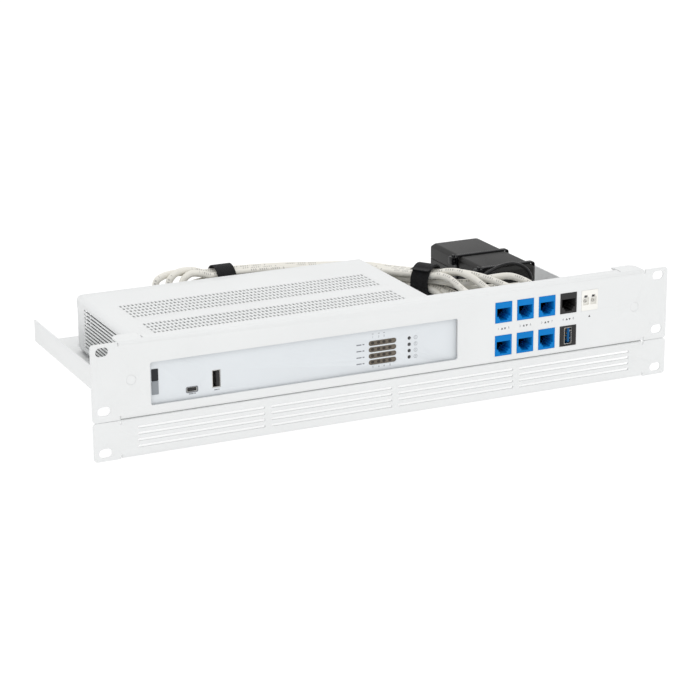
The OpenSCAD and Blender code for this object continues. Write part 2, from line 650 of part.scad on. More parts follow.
module heat_sink() color(steel) lowered() {
    along_y(58, 58) {
        translate([-58, board_top + 1.6]) square([70, 4]);
        for (i = [0:11]) translate([-58 + 6.2 * i, board_top + 4]) square([1.8, 24]);
    }
    translate([-36, 74, board_top]) cube([26, 26, 2]);
}

module port_block() color(steel) lowered() difference() {
    translate([port_xs[0] - 8.5, back_y - 18, board_top]) cube([port_block_w, 18.4, 14.4]);
    for (x = port_xs) along_y(back_y - 14.5, 16) translate([x, port_z])
        square([socket_w, socket_h + 0.2], center = true);
}

module sfp_cage() color(steel) lowered() along_y(back_y - 48, 48.6) difference() {
    translate([sfp_x - 7.2, board_top]) square([14.4, 10]);
    translate([sfp_x - 6.8, board_top + 0.4]) square([13.6, 9.2]);
}

module dc_jack() color(black) lowered() {
    difference() {
        translate([jack_x - 5, back_y - 13, port_z - 5.5]) cube([10, 13.6, 11]);
        translate([jack_x, back_y - 10, port_z]) rotate([-90, 0, 0]) cylinder(d = 6, h = 12);
    }
    translate([jack_x, back_y - 11, port_z]) rotate([-90, 0, 0]) cylinder(d = 2, h = 10);
}

module reset_button() color(black) lowered()
    translate([reset_x, back_y - 5.2, reset_z]) rotate([-90, 0, 0]) cylinder(d = 2.6, h = 4.3);

module reset_switch() color(steel) lowered() difference() {
    translate([reset_x - 3, back_y - 9, board_top]) cube([6, 4, 6]);
    translate([reset_x, back_y - 6, reset_z]) rotate([-90, 0, 0]) cylinder(d = 2.9, h = 4);
}

// ---- cooling fan ----
module fan_frame() color(black) lowered() translate([fan_x0, fan_y, fan_z]) {
    difference() {
        translate([0, -fan_w / 2, -fan_w / 2]) cube([fan_d, fan_w, fan_w]);
        rotate([0, 90, 0]) translate([0, 0, -1]) cylinder(d = 38, h = fan_d + 2);
        for (y = [-16, 16], z = [-16, 16]) translate([-1, y, z]) rotate([0, 90, 0])
            cylinder(d = 3.4, h = fan_d + 2);
    }
    // motor plate on three arms, with the bearing tube
    difference() {
        union() {
            translate([fan_d - 2, 0, 0]) rotate([0, 90, 0]) cylinder(d = 16, h = 2);
            translate([6, 0, 0]) rotate([0, 90, 0]) cylinder(d = 5, h = fan_d - 7);
            for (a = [0, 120, 240]) rotate([a, 0, 0]) translate([fan_d - 2, -1.2, 6])
                cube([2, 2.4, 13.4]);
        }
        rotate([0, 90, 0]) translate([0, 0, 5]) cylinder(d = 2.06, h = fan_d);
    }
}

module fan_rotor() color([0.2, 0.2, 0.22]) lowered() translate([fan_x0, fan_y, fan_z]) {
    difference() {
        translate([2, 0, 0]) rotate([0, 90, 0]) cylinder(d = 17, h = 15);
        translate([4, 0, 0]) rotate([0, 90, 0]) cylinder(d = 14.6, h = 20);
    }
    translate([2.5, 0, 0]) rotate([0, 90, 0]) cylinder(d = 2, h = 16);
    intersection() {
        rotate([0, 90, 0]) cylinder(r = 18.2, h = fan_d);
        for (k = [0:6]) rotate([k * 360 / 7, 0, 0]) translate([2.5, 0, 0]) rotate([0, 0, 28])
            translate([0, -0.6, 8]) cube([14, 1.2, 12]);
    }
}

module fan_screws() color(steel) lowered() for (y = [-16, 16], z = [-16, 16])
    translate([fan_x0, fan_y + y, fan_z + z]) rotate([0, 90, 0]) {
        cylinder(d = 3, h = fan_d);
        translate([0, 0, fan_d]) cylinder(d = 5.5, h = 1.8);
    }

module pan_screw() {
    cylinder(d = 2.6, h = 4.6);
    translate([0, 0, 4.6]) difference() {
        cylinder(d = 5.4, h = 1.8);
        translate([0, 0, 0.9]) cylinder(d = 2.4, h = 2, $fn = 6);
    }
}

module case_screws() color(steel) lowered() {
    for (p = board_points) translate([p[0], p[1], board_top - 4.6]) pan_screw();
    for (x = cover_screw_xs) translate([x, box_y1 - 4.6, cover_screw_z]) rotate([-90, 0, 0])
        pan_screw();
}

module rubber_feet() color(black) lowered()
    for (x = [box_x0 + 16, box_x1 - 16], y = [28, back_y - 20])
        translate([x, y, deck_z]) cylinder(d = 12, h = box_z0 - deck_z);

// ---- power adapter ----
// Body with every edge rounded
module brick_form(r) intersection() {
    translate([brick_x0, brick_y0, brick_z0]) linear_extrude(brick_h) round_rect(brick_w, brick_l, r);
    along_x(brick_x0, brick_w) translate([brick_y0, brick_z0]) round_rect(brick_l, brick_h, r);
    along_y(brick_y0, brick_l) translate([brick_x0, brick_z0]) round_rect(brick_w, brick_h, r);
}

// The part of the hollow body between two heights
module shell(z0, z1) intersection() {
    difference() {
        brick_form(3);
        translate([brick_x0 + 2.4, brick_y0 + 2.4, brick_z0 + 2.4])
            cube([brick_w - 4.8, brick_l - 4.8, brick_h - 4.8]);
    }
    translate([brick_x0 - 5, brick_y0 - 5, z0]) cube([brick_w + 10, brick_l + 10, z1 - z0]);
}

module adapter_lower_shell() color(black) lowered() difference() {
    shell(brick_z0 - 1, brick_z0 + brick_split - 0.15);
    translate([brick_xc - 13.9, brick_y1 - 15.1, inlet_z - 10]) cube([27.8, 20, 40]);
    translate([lead_x, brick_y0 - 1, lead_z]) rotate([-90, 0, 0]) cylinder(d = 6, h = 5);
}

module adapter_upper_shell() color(black) lowered()
    shell(brick_z0 + brick_split + 0.15, brick_z0 + brick_h + 2);

module adapter_board() color([0.25, 0.4, 0.2]) lowered() {
    translate([brick_x0 + 5, brick_y0 + 6, brick_z0 + 4.4]) cube([brick_w - 10, 72, 1.6]);
    translate([brick_x0 + 9, brick_y0 + 26, brick_z0 + 6]) cube([24, 22, 20]);
    for (y = [62, 71]) translate([brick_x0 + 34, brick_y0 + y, brick_z0 + 6])
        cylinder(d = 8, h = 18);
    translate([brick_x0 + 8, brick_y0 + 10, brick_z0 + 6]) cube([3, 12, 18]);
}

module mains_inlet() color(black) lowered() {
    difference() {
        translate([brick_xc - 13.8, brick_y1 - 15, inlet_z - 9.9])
            cube([27.6, 15, brick_split - 1.3]);
        along_y(brick_y1 - 13, 20) translate([brick_xc, inlet_z]) polygon([[-12, -8],
            [12, -8], [12, 4], [8, 8], [-8, 8], [-12, 4]]);
    }
    for (p = [[-7, -1.5], [7, -1.5], [0, 2.5]])
        translate([brick_xc + p[0] - 1, brick_y1 - 14, inlet_z + p[1] - 2]) cube([2, 8, 4]);
}

module adapter_ties() color(black) lowered() for (y = tie_ys) {
    t = 1.2;
    difference() {
        translate([brick_x0 - t, y - 2.4, brick_z0 - tray_t - t - 0.1])
            cube([brick_w + 2 * t, 4.8, brick_h + tray_t + 2 * t + 0.1]);
        translate([brick_x0, y - 4, brick_z0 - tray_t - 0.1])
            cube([brick_w, 8, brick_h + tray_t + 0.1]);
    }
    translate([brick_x0 - 6, y - 3.6, brick_z0 + brick_h - 6]) cube([4.8, 7.2, 6.4]);
}

module strain_relief() color(black) lowered() translate([lead_x, brick_y0 + 2, lead_z])
    rotate([90, 0, 0]) {
        cylinder(d = 6, h = 2);
        translate([0, 0, 2]) cylinder(d1 = 7.6, d2 = 4.6, h = 8);
    }

module dc_lead() color(black) lowered() tube(lead_route, lead_d);

module dc_plug() color(black) lowered() translate([jack_x, back_y, port_z]) rotate([-90, 0, 0]) {
    difference() {
        union() {
            translate([0, 0, -9]) cylinder(d = 5.5, h = 10);
            translate([0, 0, 0.7]) cylinder(d = 9.6, h = 15.3);
            translate([0, 0, 16]) cylinder(d1 = 8, d2 = 4.6, h = boot_end - back_y - 16);
        }
        translate([0, 0, -10]) cylinder(d = 2.5, h = 10);
    }
}

// ---- cables ----
module patch_cable(route) color(ivory) lowered() tube(route, cable_d);
module patch_cable_1() patch_cable(route_1);
module patch_cable_2() patch_cable(route_2);
module patch_cable_3() patch_cable(route_3);
module patch_cable_4() patch_cable(route_4);
module patch_cable_5() patch_cable(route_5);
module patch_cable_6() patch_cable(route_6);
module console_cable() patch_cable(console_route);
module usb_cable() patch_cable(usb_route);

// Plug and boot pointing backwards, the cable leaving it at its end
module rj45_plug(nose, end) {
    along_y(nose, 21.5) square([plug_w, plug_h], center = true);
    along_y(nose + 21.5, end - nose - 21.5 - 4) centred_rect(11, 8.4, 2);
    along_y(end - 4, 4) centred_rect(8, 7, 2);
}

module usb_plug(nose, end) {
    along_y(nose, 13) square([4.4, 12], center = true);
    along_y(nose + 13, end - nose - 13 - 5) centred_rect(8, 15, 2);
    along_y(end - 5, 5) centred_rect(6.4, 8, 2);
}

module appliance_plugs() color(ivory) lowered() {
    for (x = port_xs) translate([x, 0, port_z]) rj45_plug(back_y - 12, boot_end);
    translate([rear_usb_x, 0, port_z]) usb_plug_rear();
}

// The plug in the rear USB socket, cut out round the socket's tongue
module usb_plug_rear() difference() {
    usb_plug(back_y - 11.5, boot_end + 2);
    translate([-2.3, back_y - 12.5, -5.8]) cube([2.2, 13, 11.6]);
}

module coupler_plugs() color(ivory) lowered() {
    nose = coupler_y0 + coupler_d - 12.5;
    for (i = [0:3]) translate([coupler_x0 + coupler_pitch * i, 0, row_top_z])
        rj45_plug(nose, coupler_boot_end);
    for (i = [0:2]) translate([coupler_x0 + coupler_pitch * i, 0, row_low_z])
        rj45_plug(nose, coupler_boot_end);
    translate([coupler_x0 + 3 * coupler_pitch, 0, row_low_z]) usb_plug(nose, coupler_boot_end);
}

// Hook-and-loop strap round the bundle, its tail lying along it
module strap_ring(width) difference() {
    cylinder(r = ring_in + strap_t, h = width, center = true);
    cylinder(r = ring_in, h = width + 2, center = true);
}

module strap_left() color(black) lowered() {
    translate([-66, 184, 70]) rotate([0, 90, 0]) strap_ring(16);
    translate([-59.5, 170.8, 66]) cube([36, 1.3, 10.5]);
}

module strap_right() color(black) lowered()
    translate([81, 107.5, 70.4]) rotate([0, 0, -55]) rotate([0, 90, 0]) strap_ring(16);

front_panel();
vent_panel();
tray();
panel_studs();
lock_nuts();
panel_screws();
rivets();
adapter_bracket();
rear_stops();
data_coupler_1();
data_coupler_2();
data_coupler_3();
data_coupler_4();
data_coupler_5();
data_coupler_6();
console_coupler();
usb_coupler();
usb_coupler_shell();
fibre_adapter();
coupler_contacts();
chassis_base();
top_cover();
fascia();
fascia_badge();
port_light_windows();
status_lights();
usb_ports();
service_port();
main_board();
heat_sink();
port_block();
sfp_cage();
dc_jack();
reset_button();
reset_switch();
fan_frame();
fan_rotor();
fan_screws();
case_screws();
rubber_feet();
adapter_lower_shell();
adapter_upper_shell();
adapter_board();
mains_inlet();
adapter_ties();
strain_relief();
dc_lead();
dc_plug();
patch_cable_1();
patch_cable_2();
patch_cable_3();
patch_cable_4();
patch_cable_5();
patch_cable_6();
console_cable();
usb_cable();
appliance_plugs();
coupler_plugs();
strap_left();
strap_right();
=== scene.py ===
import json
import math

import bmesh
import bpy
from mathutils import Matrix, Vector


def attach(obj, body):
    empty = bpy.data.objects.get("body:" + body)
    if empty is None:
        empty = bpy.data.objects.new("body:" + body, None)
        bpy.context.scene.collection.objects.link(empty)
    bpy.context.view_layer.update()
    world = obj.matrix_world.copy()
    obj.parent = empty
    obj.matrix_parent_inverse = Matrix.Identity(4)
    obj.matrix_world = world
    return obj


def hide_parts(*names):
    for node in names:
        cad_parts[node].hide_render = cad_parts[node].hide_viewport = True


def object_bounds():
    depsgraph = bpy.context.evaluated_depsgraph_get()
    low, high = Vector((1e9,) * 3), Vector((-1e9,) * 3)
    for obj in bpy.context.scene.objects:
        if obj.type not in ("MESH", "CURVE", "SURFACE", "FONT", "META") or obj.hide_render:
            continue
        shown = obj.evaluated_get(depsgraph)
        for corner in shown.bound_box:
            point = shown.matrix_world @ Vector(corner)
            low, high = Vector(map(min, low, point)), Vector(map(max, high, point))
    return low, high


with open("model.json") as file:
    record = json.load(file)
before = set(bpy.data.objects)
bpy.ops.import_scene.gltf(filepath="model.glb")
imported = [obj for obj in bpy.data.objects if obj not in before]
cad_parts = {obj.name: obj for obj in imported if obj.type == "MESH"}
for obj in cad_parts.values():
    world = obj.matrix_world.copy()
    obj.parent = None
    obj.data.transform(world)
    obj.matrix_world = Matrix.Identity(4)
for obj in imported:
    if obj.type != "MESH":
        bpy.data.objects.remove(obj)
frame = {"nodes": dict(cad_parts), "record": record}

cad_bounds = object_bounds()
record = frame["record"]
scene = bpy.context.scene

MM = 0.001
low_edge = cad_bounds[0][2] / MM             # bottom edge of the panels in the frame
into_frame = Matrix.Scale(MM, 4) @ Matrix.Translation((0, 0, low_edge))


# ---- camera, light and floor ----
def set_camera():
    camera = bpy.data.objects.new("camera", bpy.data.cameras.new("camera"))
    camera.location = (-0.7283, -1.4756, 0.5191)
    camera.rotation_euler = [math.radians(a) for a in (72.75, 0.36, -25.19)]
    camera.data.lens = 117.2
    camera.data.sensor_width = 36
    scene.collection.objects.link(camera)
    scene.camera = camera


def area_light(name, place, target, size, power):
    lamp = bpy.data.lights.new(name, "AREA")
    lamp.shape = "RECTANGLE"
    lamp.size, lamp.size_y = size
    lamp.energy = power
    o = bpy.data.objects.new(name, lamp)
    o.location = place
    o.rotation_euler = (Vector(target) - Vector(place)).to_track_quat("-Z", "Y").to_euler()
    scene.collection.objects.link(o)


def set_studio():
    scene.view_settings.view_transform = "Standard"
    world = bpy.data.worlds.new("studio")
    world.use_nodes = True
    world.node_tree.nodes["Background"].inputs["Color"].default_value = (1, 1, 1, 1)
    world.node_tree.nodes["Background"].inputs["Strength"].default_value = 1.0
    scene.world = world
    area_light("key", (-0.9, -1.2, 1.7), (0, 0, 0), (1.4, 1.0), 5)
    area_light("fill", (1.3, -0.9, 0.8), (0, 0, 0), (1.0, 1.0), 1.5)
    area_light("back", (0.1, 1.2, 1.3), (0, 0.05, 0), (1.6, 0.8), 2)
    bm = bmesh.new()
    bmesh.ops.create_grid(bm, x_segments=4, y_segments=4, size=9)
    mesh = bpy.data.meshes.new("floor")
    bm.to_mesh(mesh)
    floor = bpy.data.objects.new("floor", mesh)
    floor.location.z = cad_bounds[0][2] - 0.0004
    mesh.materials.append(surface("floor", (0.30, 0.30, 0.30), 0.8, tint=0, spread=0.02,
                                  grain=(300, 0.01, 0.0001), Emission_Color=(1, 1, 1, 1),
                                  Emission_Strength=0.74))
    scene.collection.objects.link(floor)


# ---- materials ----
def surface(name, colour, roughness, metallic=0.0, grain=(1200, 0.1, 0.0002), tint=0.03,
            patch=20, spread=0.05, stretch=(1, 1, 1), **sockets):
    """A material with faint patches in its colour, and a grain (size per metre, strength, depth)
    in its roughness and bump. Other shader sockets are given by name."""
    material = bpy.data.materials.new(name)
    material.use_nodes = True
    tree = material.node_tree
    shader = tree.nodes["Principled BSDF"]
    shader.inputs["Metallic"].default_value = metallic
    for socket, value in sockets.items():
        shader.inputs[socket.replace("_", " ")].default_value = value
    place = tree.nodes.new("ShaderNodeTexCoord")
    mapping = tree.nodes.new("ShaderNodeMapping")
    mapping.inputs["Scale"].default_value = stretch
    tree.links.new(place.outputs["Object"], mapping.inputs["Vector"])
    noises = []
    for scale, detail in ((patch, 3), (grain[0], 2)):
        noise = tree.nodes.new("ShaderNodeTexNoise")
        noise.inputs["Scale"].default_value = scale
        noise.inputs["Detail"].default_value = detail
        tree.links.new(mapping.outputs["Vector"], noise.inputs["Vector"])
        noises.append(noise)
    ramp = tree.nodes.new("ShaderNodeValToRGB")
    for stop, position, shade in zip(ramp.color_ramp.elements, (0.35, 0.65), (1 - tint, 1 + tint)):
        stop.position = position
        stop.color = [min(1, c * shade) for c in colour] + [1]
    tree.links.new(noises[0].outputs["Fac"], ramp.inputs["Fac"])
    tree.links.new(ramp.outputs["Color"], shader.inputs["Base Color"])
    rough = tree.nodes.new("ShaderNodeMapRange")
    rough.inputs["To Min"].default_value = max(0.02, roughness - spread)
    rough.inputs["To Max"].default_value = min(1, roughness + spread)
    tree.links.new(noises[1].outputs["Fac"], rough.inputs["Value"])
    tree.links.new(rough.outputs["Result"], shader.inputs["Roughness"])
    bump = tree.nodes.new("ShaderNodeBump")
    bump.inputs["Strength"].default_value = grain[1]
    bump.inputs["Distance"].default_value = grain[2]
    tree.links.new(noises[1].outputs["Fac"], bump.inputs["Height"])
    tree.links.new(bump.outputs["Normal"], shader.inputs["Normal"])
    return material


def printed_jacket():
    """Ivory cable jacket, with a row of small dark print marks along its upper front side."""
    material = surface("cable_jacket", (0.76, 0.74, 0.68), 0.42, grain=(900, 0.12, 0.0003))
    tree = material.node_tree
    shader = tree.nodes["Principled BSDF"]

    def math_node(operation, *values):
        n = tree.nodes.new("ShaderNodeMath")
        n.operation = operation
        for i, v in enumerate(values):
            if isinstance(v, (int, float)):
                n.inputs[i].default_value = v
            else:
                tree.links.new(v, n.inputs[i])
        return n.outputs[0]

    def reading(name):
        n = tree.nodes.new("ShaderNodeAttribute")
        n.attribute_name = name
        return n.outputs["Fac"]

    along, around = reading("along"), reading("around")
    group = math_node("LESS_THAN", math_node("MODULO", along, 0.046), 0.030)
    word = math_node("LESS_THAN", math_node("MODULO", along, 0.0101), 0.0078)
    stroke = math_node("LESS_THAN", math_node("MODULO", along, 0.0019), 0.0011)
    row = math_node("COMPARE", around, 0.0, 0.11)
    mark = math_node("MULTIPLY", math_node("MULTIPLY", group, word),
                     math_node("MULTIPLY", stroke, row))
    mix = tree.nodes.new("ShaderNodeMix")
    mix.data_type = "RGBA"
    tree.links.new(math_node("MULTIPLY", mark, 0.45), mix.inputs["Factor"])
    colours = [s for s in mix.inputs if s.type == "RGBA"]
    tree.links.new(shader.inputs["Base Color"].links[0].from_socket, colours[0])
    colours[1].default_value = (0.10, 0.10, 0.11, 1)
    result = [s for s in mix.outputs if s.type == "RGBA"][0]
    tree.links.new(result, shader.inputs["Base Color"])
    return material


looks = {
    "panel_paint": surface("panel_paint", (0.75, 0.76, 0.76), 0.5, grain=(1900, 0.2, 0.00012),
                           tint=0.008),
    "zinc_steel": surface("zinc_steel", (0.66, 0.67, 0.69), 0.32, 1.0, grain=(700, 0.1, 0.0001),
                          tint=0.08, patch=160, spread=0.1),
    "blue_plastic": surface("blue_plastic", (0.001, 0.185, 0.54), 0.42, grain=(1500, 0.06, 0.0001),
                            Specular_IOR_Level=0.12),
    "black_plastic": surface("black_plastic", (0.022, 0.021, 0.021), 0.45,
                             grain=(1800, 0.1, 0.0001), Specular_IOR_Level=0.3),
    "nickel_shell": surface("nickel_shell", (0.72, 0.70, 0.66), 0.24, 1.0,
                            grain=(500, 0.08, 0.0001), spread=0.08, patch=90),
    "cream_plastic": surface("cream_plastic", (0.83, 0.82, 0.78), 0.4, grain=(1500, 0.06, 0.0001)),
    "gold_contact": surface("gold_contact", (0.92, 0.68, 0.28), 0.2, 1.0,
                            grain=(2000, 0.05, 0.0001)),
    "bare_steel": surface("bare_steel", (0.60, 0.61, 0.62), 0.38, 1.0, grain=(260, 0.15, 0.0002),
                          tint=0.12, patch=120, spread=0.12),
    "cover_paint": surface("cover_paint", (0.74, 0.75, 0.75), 0.48, grain=(1900, 0.18, 0.00012),
                           tint=0.008),
    "fascia_plastic": surface("fascia_plastic", (0.69, 0.72, 0.745), 0.4,
                              grain=(2200, 0.1, 0.0001), tint=0.01),
    "badge_print": surface("badge_print", (0.020, 0.022, 0.026), 0.4,
                           grain=(1500, 0.05, 0.0001), Specular_IOR_Level=0.2),
    "badge_grey": surface("badge_grey", (0.24, 0.26, 0.28), 0.35, grain=(1500, 0.05, 0.0001)),
    "smoked_lens": surface("smoked_lens", (0.13, 0.11, 0.085), 0.3, grain=(800, 0.03, 0.0001),
                           Specular_IOR_Level=0.3),
    "lit_spot": surface("lit_spot", (0.035, 0.028, 0.022), 0.3, grain=(800, 0.03, 0.0001),
                        Specular_IOR_Level=0.3),
    "clear_lens": surface("clear_lens", (0.03, 0.03, 0.032), 0.18, grain=(800, 0.03, 0.0001),
                          Coat_Weight=0.4),
    "circuit_board": surface("circuit_board", (0.012, 0.11, 0.05), 0.36, grain=(600, 0.2, 0.0001),
                             tint=0.2, patch=300),
    "aluminium": surface("aluminium", (0.70, 0.71, 0.72), 0.36, 1.0, grain=(900, 0.15, 0.0001),
                         stretch=(1, 0.03, 1), spread=0.1),
    "soft_rubber": surface("soft_rubber", (0.02, 0.02, 0.02), 0.75, grain=(1400, 0.3, 0.0002)),
    "adapter_plastic": surface("adapter_plastic", (0.011, 0.0105, 0.010), 0.5,
                               grain=(1500, 0.35, 0.00015), tint=0.06,
                               Specular_IOR_Level=0.26),
    "tie_nylon": surface("tie_nylon", (0.004, 0.004, 0.005), 0.36, grain=(900, 0.08, 0.0001),
                         Specular_IOR_Level=0.16),
    "lead_jacket": surface("lead_jacket", (0.007, 0.007, 0.008), 0.3, grain=(1100, 0.12, 0.0001),
                           Specular_IOR_Level=0.3),
    "cable_jacket": printed_jacket(),
    "plug_plastic": surface("plug_plastic", (0.76, 0.74, 0.68), 0.4, grain=(1300, 0.1, 0.0001)),
    "strap_fabric": surface("strap_fabric", (0.008, 0.008, 0.009), 0.9,
                            grain=(1900, 1.0, 0.0006), tint=0.25, patch=900,
                            Specular_IOR_Level=0.2, Sheen_Weight=0.08),
    "ink": surface("ink", (0.05, 0.05, 0.055), 0.6, grain=(2500, 0.1, 0.00005)),
    "pale_ink": surface("pale_ink", (0.20, 0.21, 0.23), 0.6, grain=(2500, 0.1, 0.00005)),
    "clear_plastic": surface("clear_plastic", (0.80, 0.82, 0.82), 0.12,
                             grain=(700, 0.05, 0.0001), Transmission_Weight=0.75),
    "usb_tongue": surface("usb_tongue", (0.004, 0.10, 0.28), 0.4, grain=(1500, 0.06, 0.0001),
                          Specular_IOR_Level=0.2),
    "ferrule": surface("ferrule", (0.50, 0.49, 0.46), 0.25, grain=(900, 0.02, 0.0001)),
}


# ---- outlines, in two dimensions ----
def arc(cx, cy, r, start, end, steps=6):
    angles = [math.radians(start + (end - start) * k / steps) for k in range(steps + 1)]
    return [(cx + r * math.cos(a), cy + r * math.sin(a)) for a in angles]


def rounded(x0, y0, x1, y1, r, steps=4):
    return (arc(x1 - r, y0 + r, r, -90, 0, steps) + arc(x1 - r, y1 - r, r, 0, 90, steps)
            + arc(x0 + r, y1 - r, r, 90, 180, steps) + arc(x0 + r, y0 + r, r, 180, 270, steps))


def centred(cx, cy, w, h, r, steps=4):
    return rounded(cx - w / 2, cy - h / 2, cx + w / 2, cy + h / 2, r, steps)


def disc(cx, cy, d, steps=32):
    return arc(cx, cy, d / 2, 0, 360 * (1 - 1 / steps), steps - 1)


def moved(outline, dx, dy):
    return [(x + dx, y + dy) for x, y in outline]


# ---- solids, in three ----
def put(axis, u, v, c):
    """A point from two coordinates across an axis and one along it."""
    return {"x": (c, u, v), "y": (u, c, v), "z": (u, v, c)}[axis]


def loft(bm, rings, caps=True):
    """Skin over rings of points, each ring with the same number of them."""
    verts = [[bm.verts.new(p) for p in ring] for ring in rings]
    n = len(verts[0])
    for a, b in zip(verts, verts[1:]):
        for k in range(n):
            bm.faces.new((a[k], a[(k + 1) % n], b[(k + 1) % n], b[k]))
    if caps:
        bm.faces.new(verts[0][::-1])
        bm.faces.new(verts[-1])


def prism(bm, outline, axis, a, b):
    loft(bm, [[put(axis, u, v, c) for u, v in outline] for c in (a, b)])


def block(bm, x0, x1, y0, y1, z0, z1):
    prism(bm, [(x0, y0), (x1, y0), (x1, y1), (x0, y1)], "z", z0, z1)


def lathe(bm, axis, u, v, profile, steps=32):
    """Turned solid: profile is (radius, place along the axis), from one end to the other."""
    turns = [2 * math.pi * k / steps for k in range(steps)]
    loft(bm, [[put(axis, u + r * math.cos(t), v + r * math.sin(t), c) for t in turns]
              for r, c in profile])


def add_curve(bm, curve, axis, middle):
    """A filled flat curve, its own height along the axis about a place."""
    o = bpy.data.objects.new("flat", curve)
    mesh = bpy.data.meshes.new_from_object(o)
    for v in mesh.vertices:
        v.co = put(axis, v.co.x, v.co.y, middle + v.co.z)
    bm.from_mesh(mesh)
    bpy.data.objects.remove(o)
    bpy.data.curves.remove(curve)
    bpy.data.meshes.remove(mesh)


def slab(bm, outline, holes, axis, a, b, edge=0.15):
    """A sheet across an axis from a to b, with holes, and with its edges eased."""
    curve = bpy.data.curves.new("slab", "CURVE")
    curve.dimensions = "2D"
    curve.fill_mode = "BOTH"
    curve.extrude = (b - a) / 2 - edge
    curve.bevel_depth = edge
    curve.bevel_resolution = 1
    curve.offset = -edge
    for points in [outline] + holes:
        spline = curve.splines.new("POLY")
        spline.points.add(len(points) - 1)
        for p, (x, y) in zip(spline.points, points):
            p.co = (x, y, 0, 1)
        spline.use_cyclic_u = True
    add_curve(bm, curve, axis, (a + b) / 2)


def numeral(bm, text, x, z, size, front):
    """A number printed on a front face."""
    curve = bpy.data.curves.new("numeral", "FONT")
    curve.body = text
    curve.size = size
    curve.extrude = 0.02
    curve.align_x = "CENTER"
    curve.align_y = "CENTER"
    count = len(bm.verts)
    add_curve(bm, curve, "y", front)
    bm.verts.ensure_lookup_table()
    bmesh.ops.translate(bm, verts=bm.verts[count:], vec=(x, 0, z))


def piece(name, bm, look, stands_for=(), body="kit", edge=0.15, sharp=35):
    """Puts a mesh made in millimetres into the frame, riding on a body."""
    bmesh.ops.remove_doubles(bm, verts=bm.verts, dist=0.002)
    bmesh.ops.recalc_face_normals(bm, faces=bm.faces)
    bm.transform(into_frame)
    return finish_piece(name, bm, look, stands_for, body, edge, sharp)


def finish_piece(name, bm, look, stands_for, body, edge, sharp):
    """Makes the object, eases its edges, puts it on its body and hides the CAD nodes it stands for.
    """
    mesh = bpy.data.meshes.new(name)
    bm.to_mesh(mesh)
    bm.free()
    mesh.materials.append(looks[look])
    mesh.shade_smooth()
    o = bpy.data.objects.new(name, mesh)
    scene.collection.objects.link(o)
    if edge:
        bevel = o.modifiers.new("edges", "BEVEL")
        bevel.width = edge * MM
        bevel.segments = 2
        bevel.limit_method = "ANGLE"
        bevel.angle_limit = math.radians(sharp)
        bevel.harden_normals = True
    else:
        mesh.set_sharp_from_angle(angle=math.radians(sharp))
    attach(o, body)
    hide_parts(*stands_for)
    return o


def eased_copy(node, look, edge, body="kit"):
    """The CAD node's own shape, with its edges rounded over."""
    bm = bmesh.new()
    bm.from_mesh(frame["nodes"][node].data)
    bmesh.ops.remove_doubles(bm, verts=bm.verts, dist=2e-6)
    bmesh.ops.dissolve_limit(bm, angle_limit=math.radians(0.5), verts=bm.verts, edges=bm.edges)
    return finish_piece(node + "_eased", bm, look, [node], body, edge, 35)


# ---- places and sizes that several parts share ----
row_top, row_low = 69.7, 43.1                # heights of the two coupler rows
column_x = [93.2 + 19.2 * i for i in range(5)]
face_w, face_h = 14.7, 16.5                  # front of a coupler
coupler_y0, collar_y, coupler_y1 = -0.3, 10.7, 32.7    # its front, step and rear end
contact_pitch = 1.02                         # between the eight contacts of a network socket
panel_print_y = -0.005                       # prints stand a hair proud of the front panel
fascia_y = 2.8                               # front face of the fascia
window_x, status_x, ring_x = -9.3, 13.2, 18.6
window_zs = (59, 54, 49, 44)
light_xs = (-17.5, -12.5, -8, -3)
service_x, service_z = -163.8, 43.8          # front service socket
front_usb_x, front_usb_z = -144.5, 49.3
port_xs = [-108 + 17 * i for i in range(7)]  # rear network sockets and console socket
rear_usb_x, jack_x, port_z = 16, 36, 49
rear_nose, boot_end = 152, 188               # where plugs at the appliance start and end
coupler_nose, coupler_boot_end = 20.2, 57    # the same at the couplers


# ---- panels, tray and small steel parts ----
def eased_parts():
    """Parts whose CAD shape is right as it is and only lacks its rounded edges."""
    for node, look, edge in (
            ("front_panel", "panel_paint", 0.28), ("vent_panel", "panel_paint", 0.28),
            ("tray", "panel_paint", 0.25), ("adapter_bracket", "panel_paint", 0.25),
            ("rear_stops", "panel_paint", 0.25), ("lock_nuts", "zinc_steel", 0.2),
            ("panel_screws", "zinc_steel", 0.3), ("rivets", "zinc_steel", 0.3),
            ("case_screws", "zinc_steel", 0.25), ("fan_screws", "zinc_steel", 0.25),
            ("chassis_base", "bare_steel", 0.15), ("heat_sink", "aluminium", 0.2),
            ("port_block", "nickel_shell", 0.15), ("sfp_cage", "nickel_shell", 0.1),
            ("usb_ports", "nickel_shell", 0.12), ("service_port", "nickel_shell", 0.08),
            ("dc_jack", "black_plastic", 0.2), ("reset_switch", "nickel_shell", 0.15),
            ("rubber_feet", "soft_rubber", 0.6), ("mains_inlet", "black_plastic", 0.3),
            ("fan_frame", "black_plastic", 0.3)):
        eased_copy(node, look, edge)
    eased_copy("reset_button", "black_plastic", 0.25, body="reset_button")


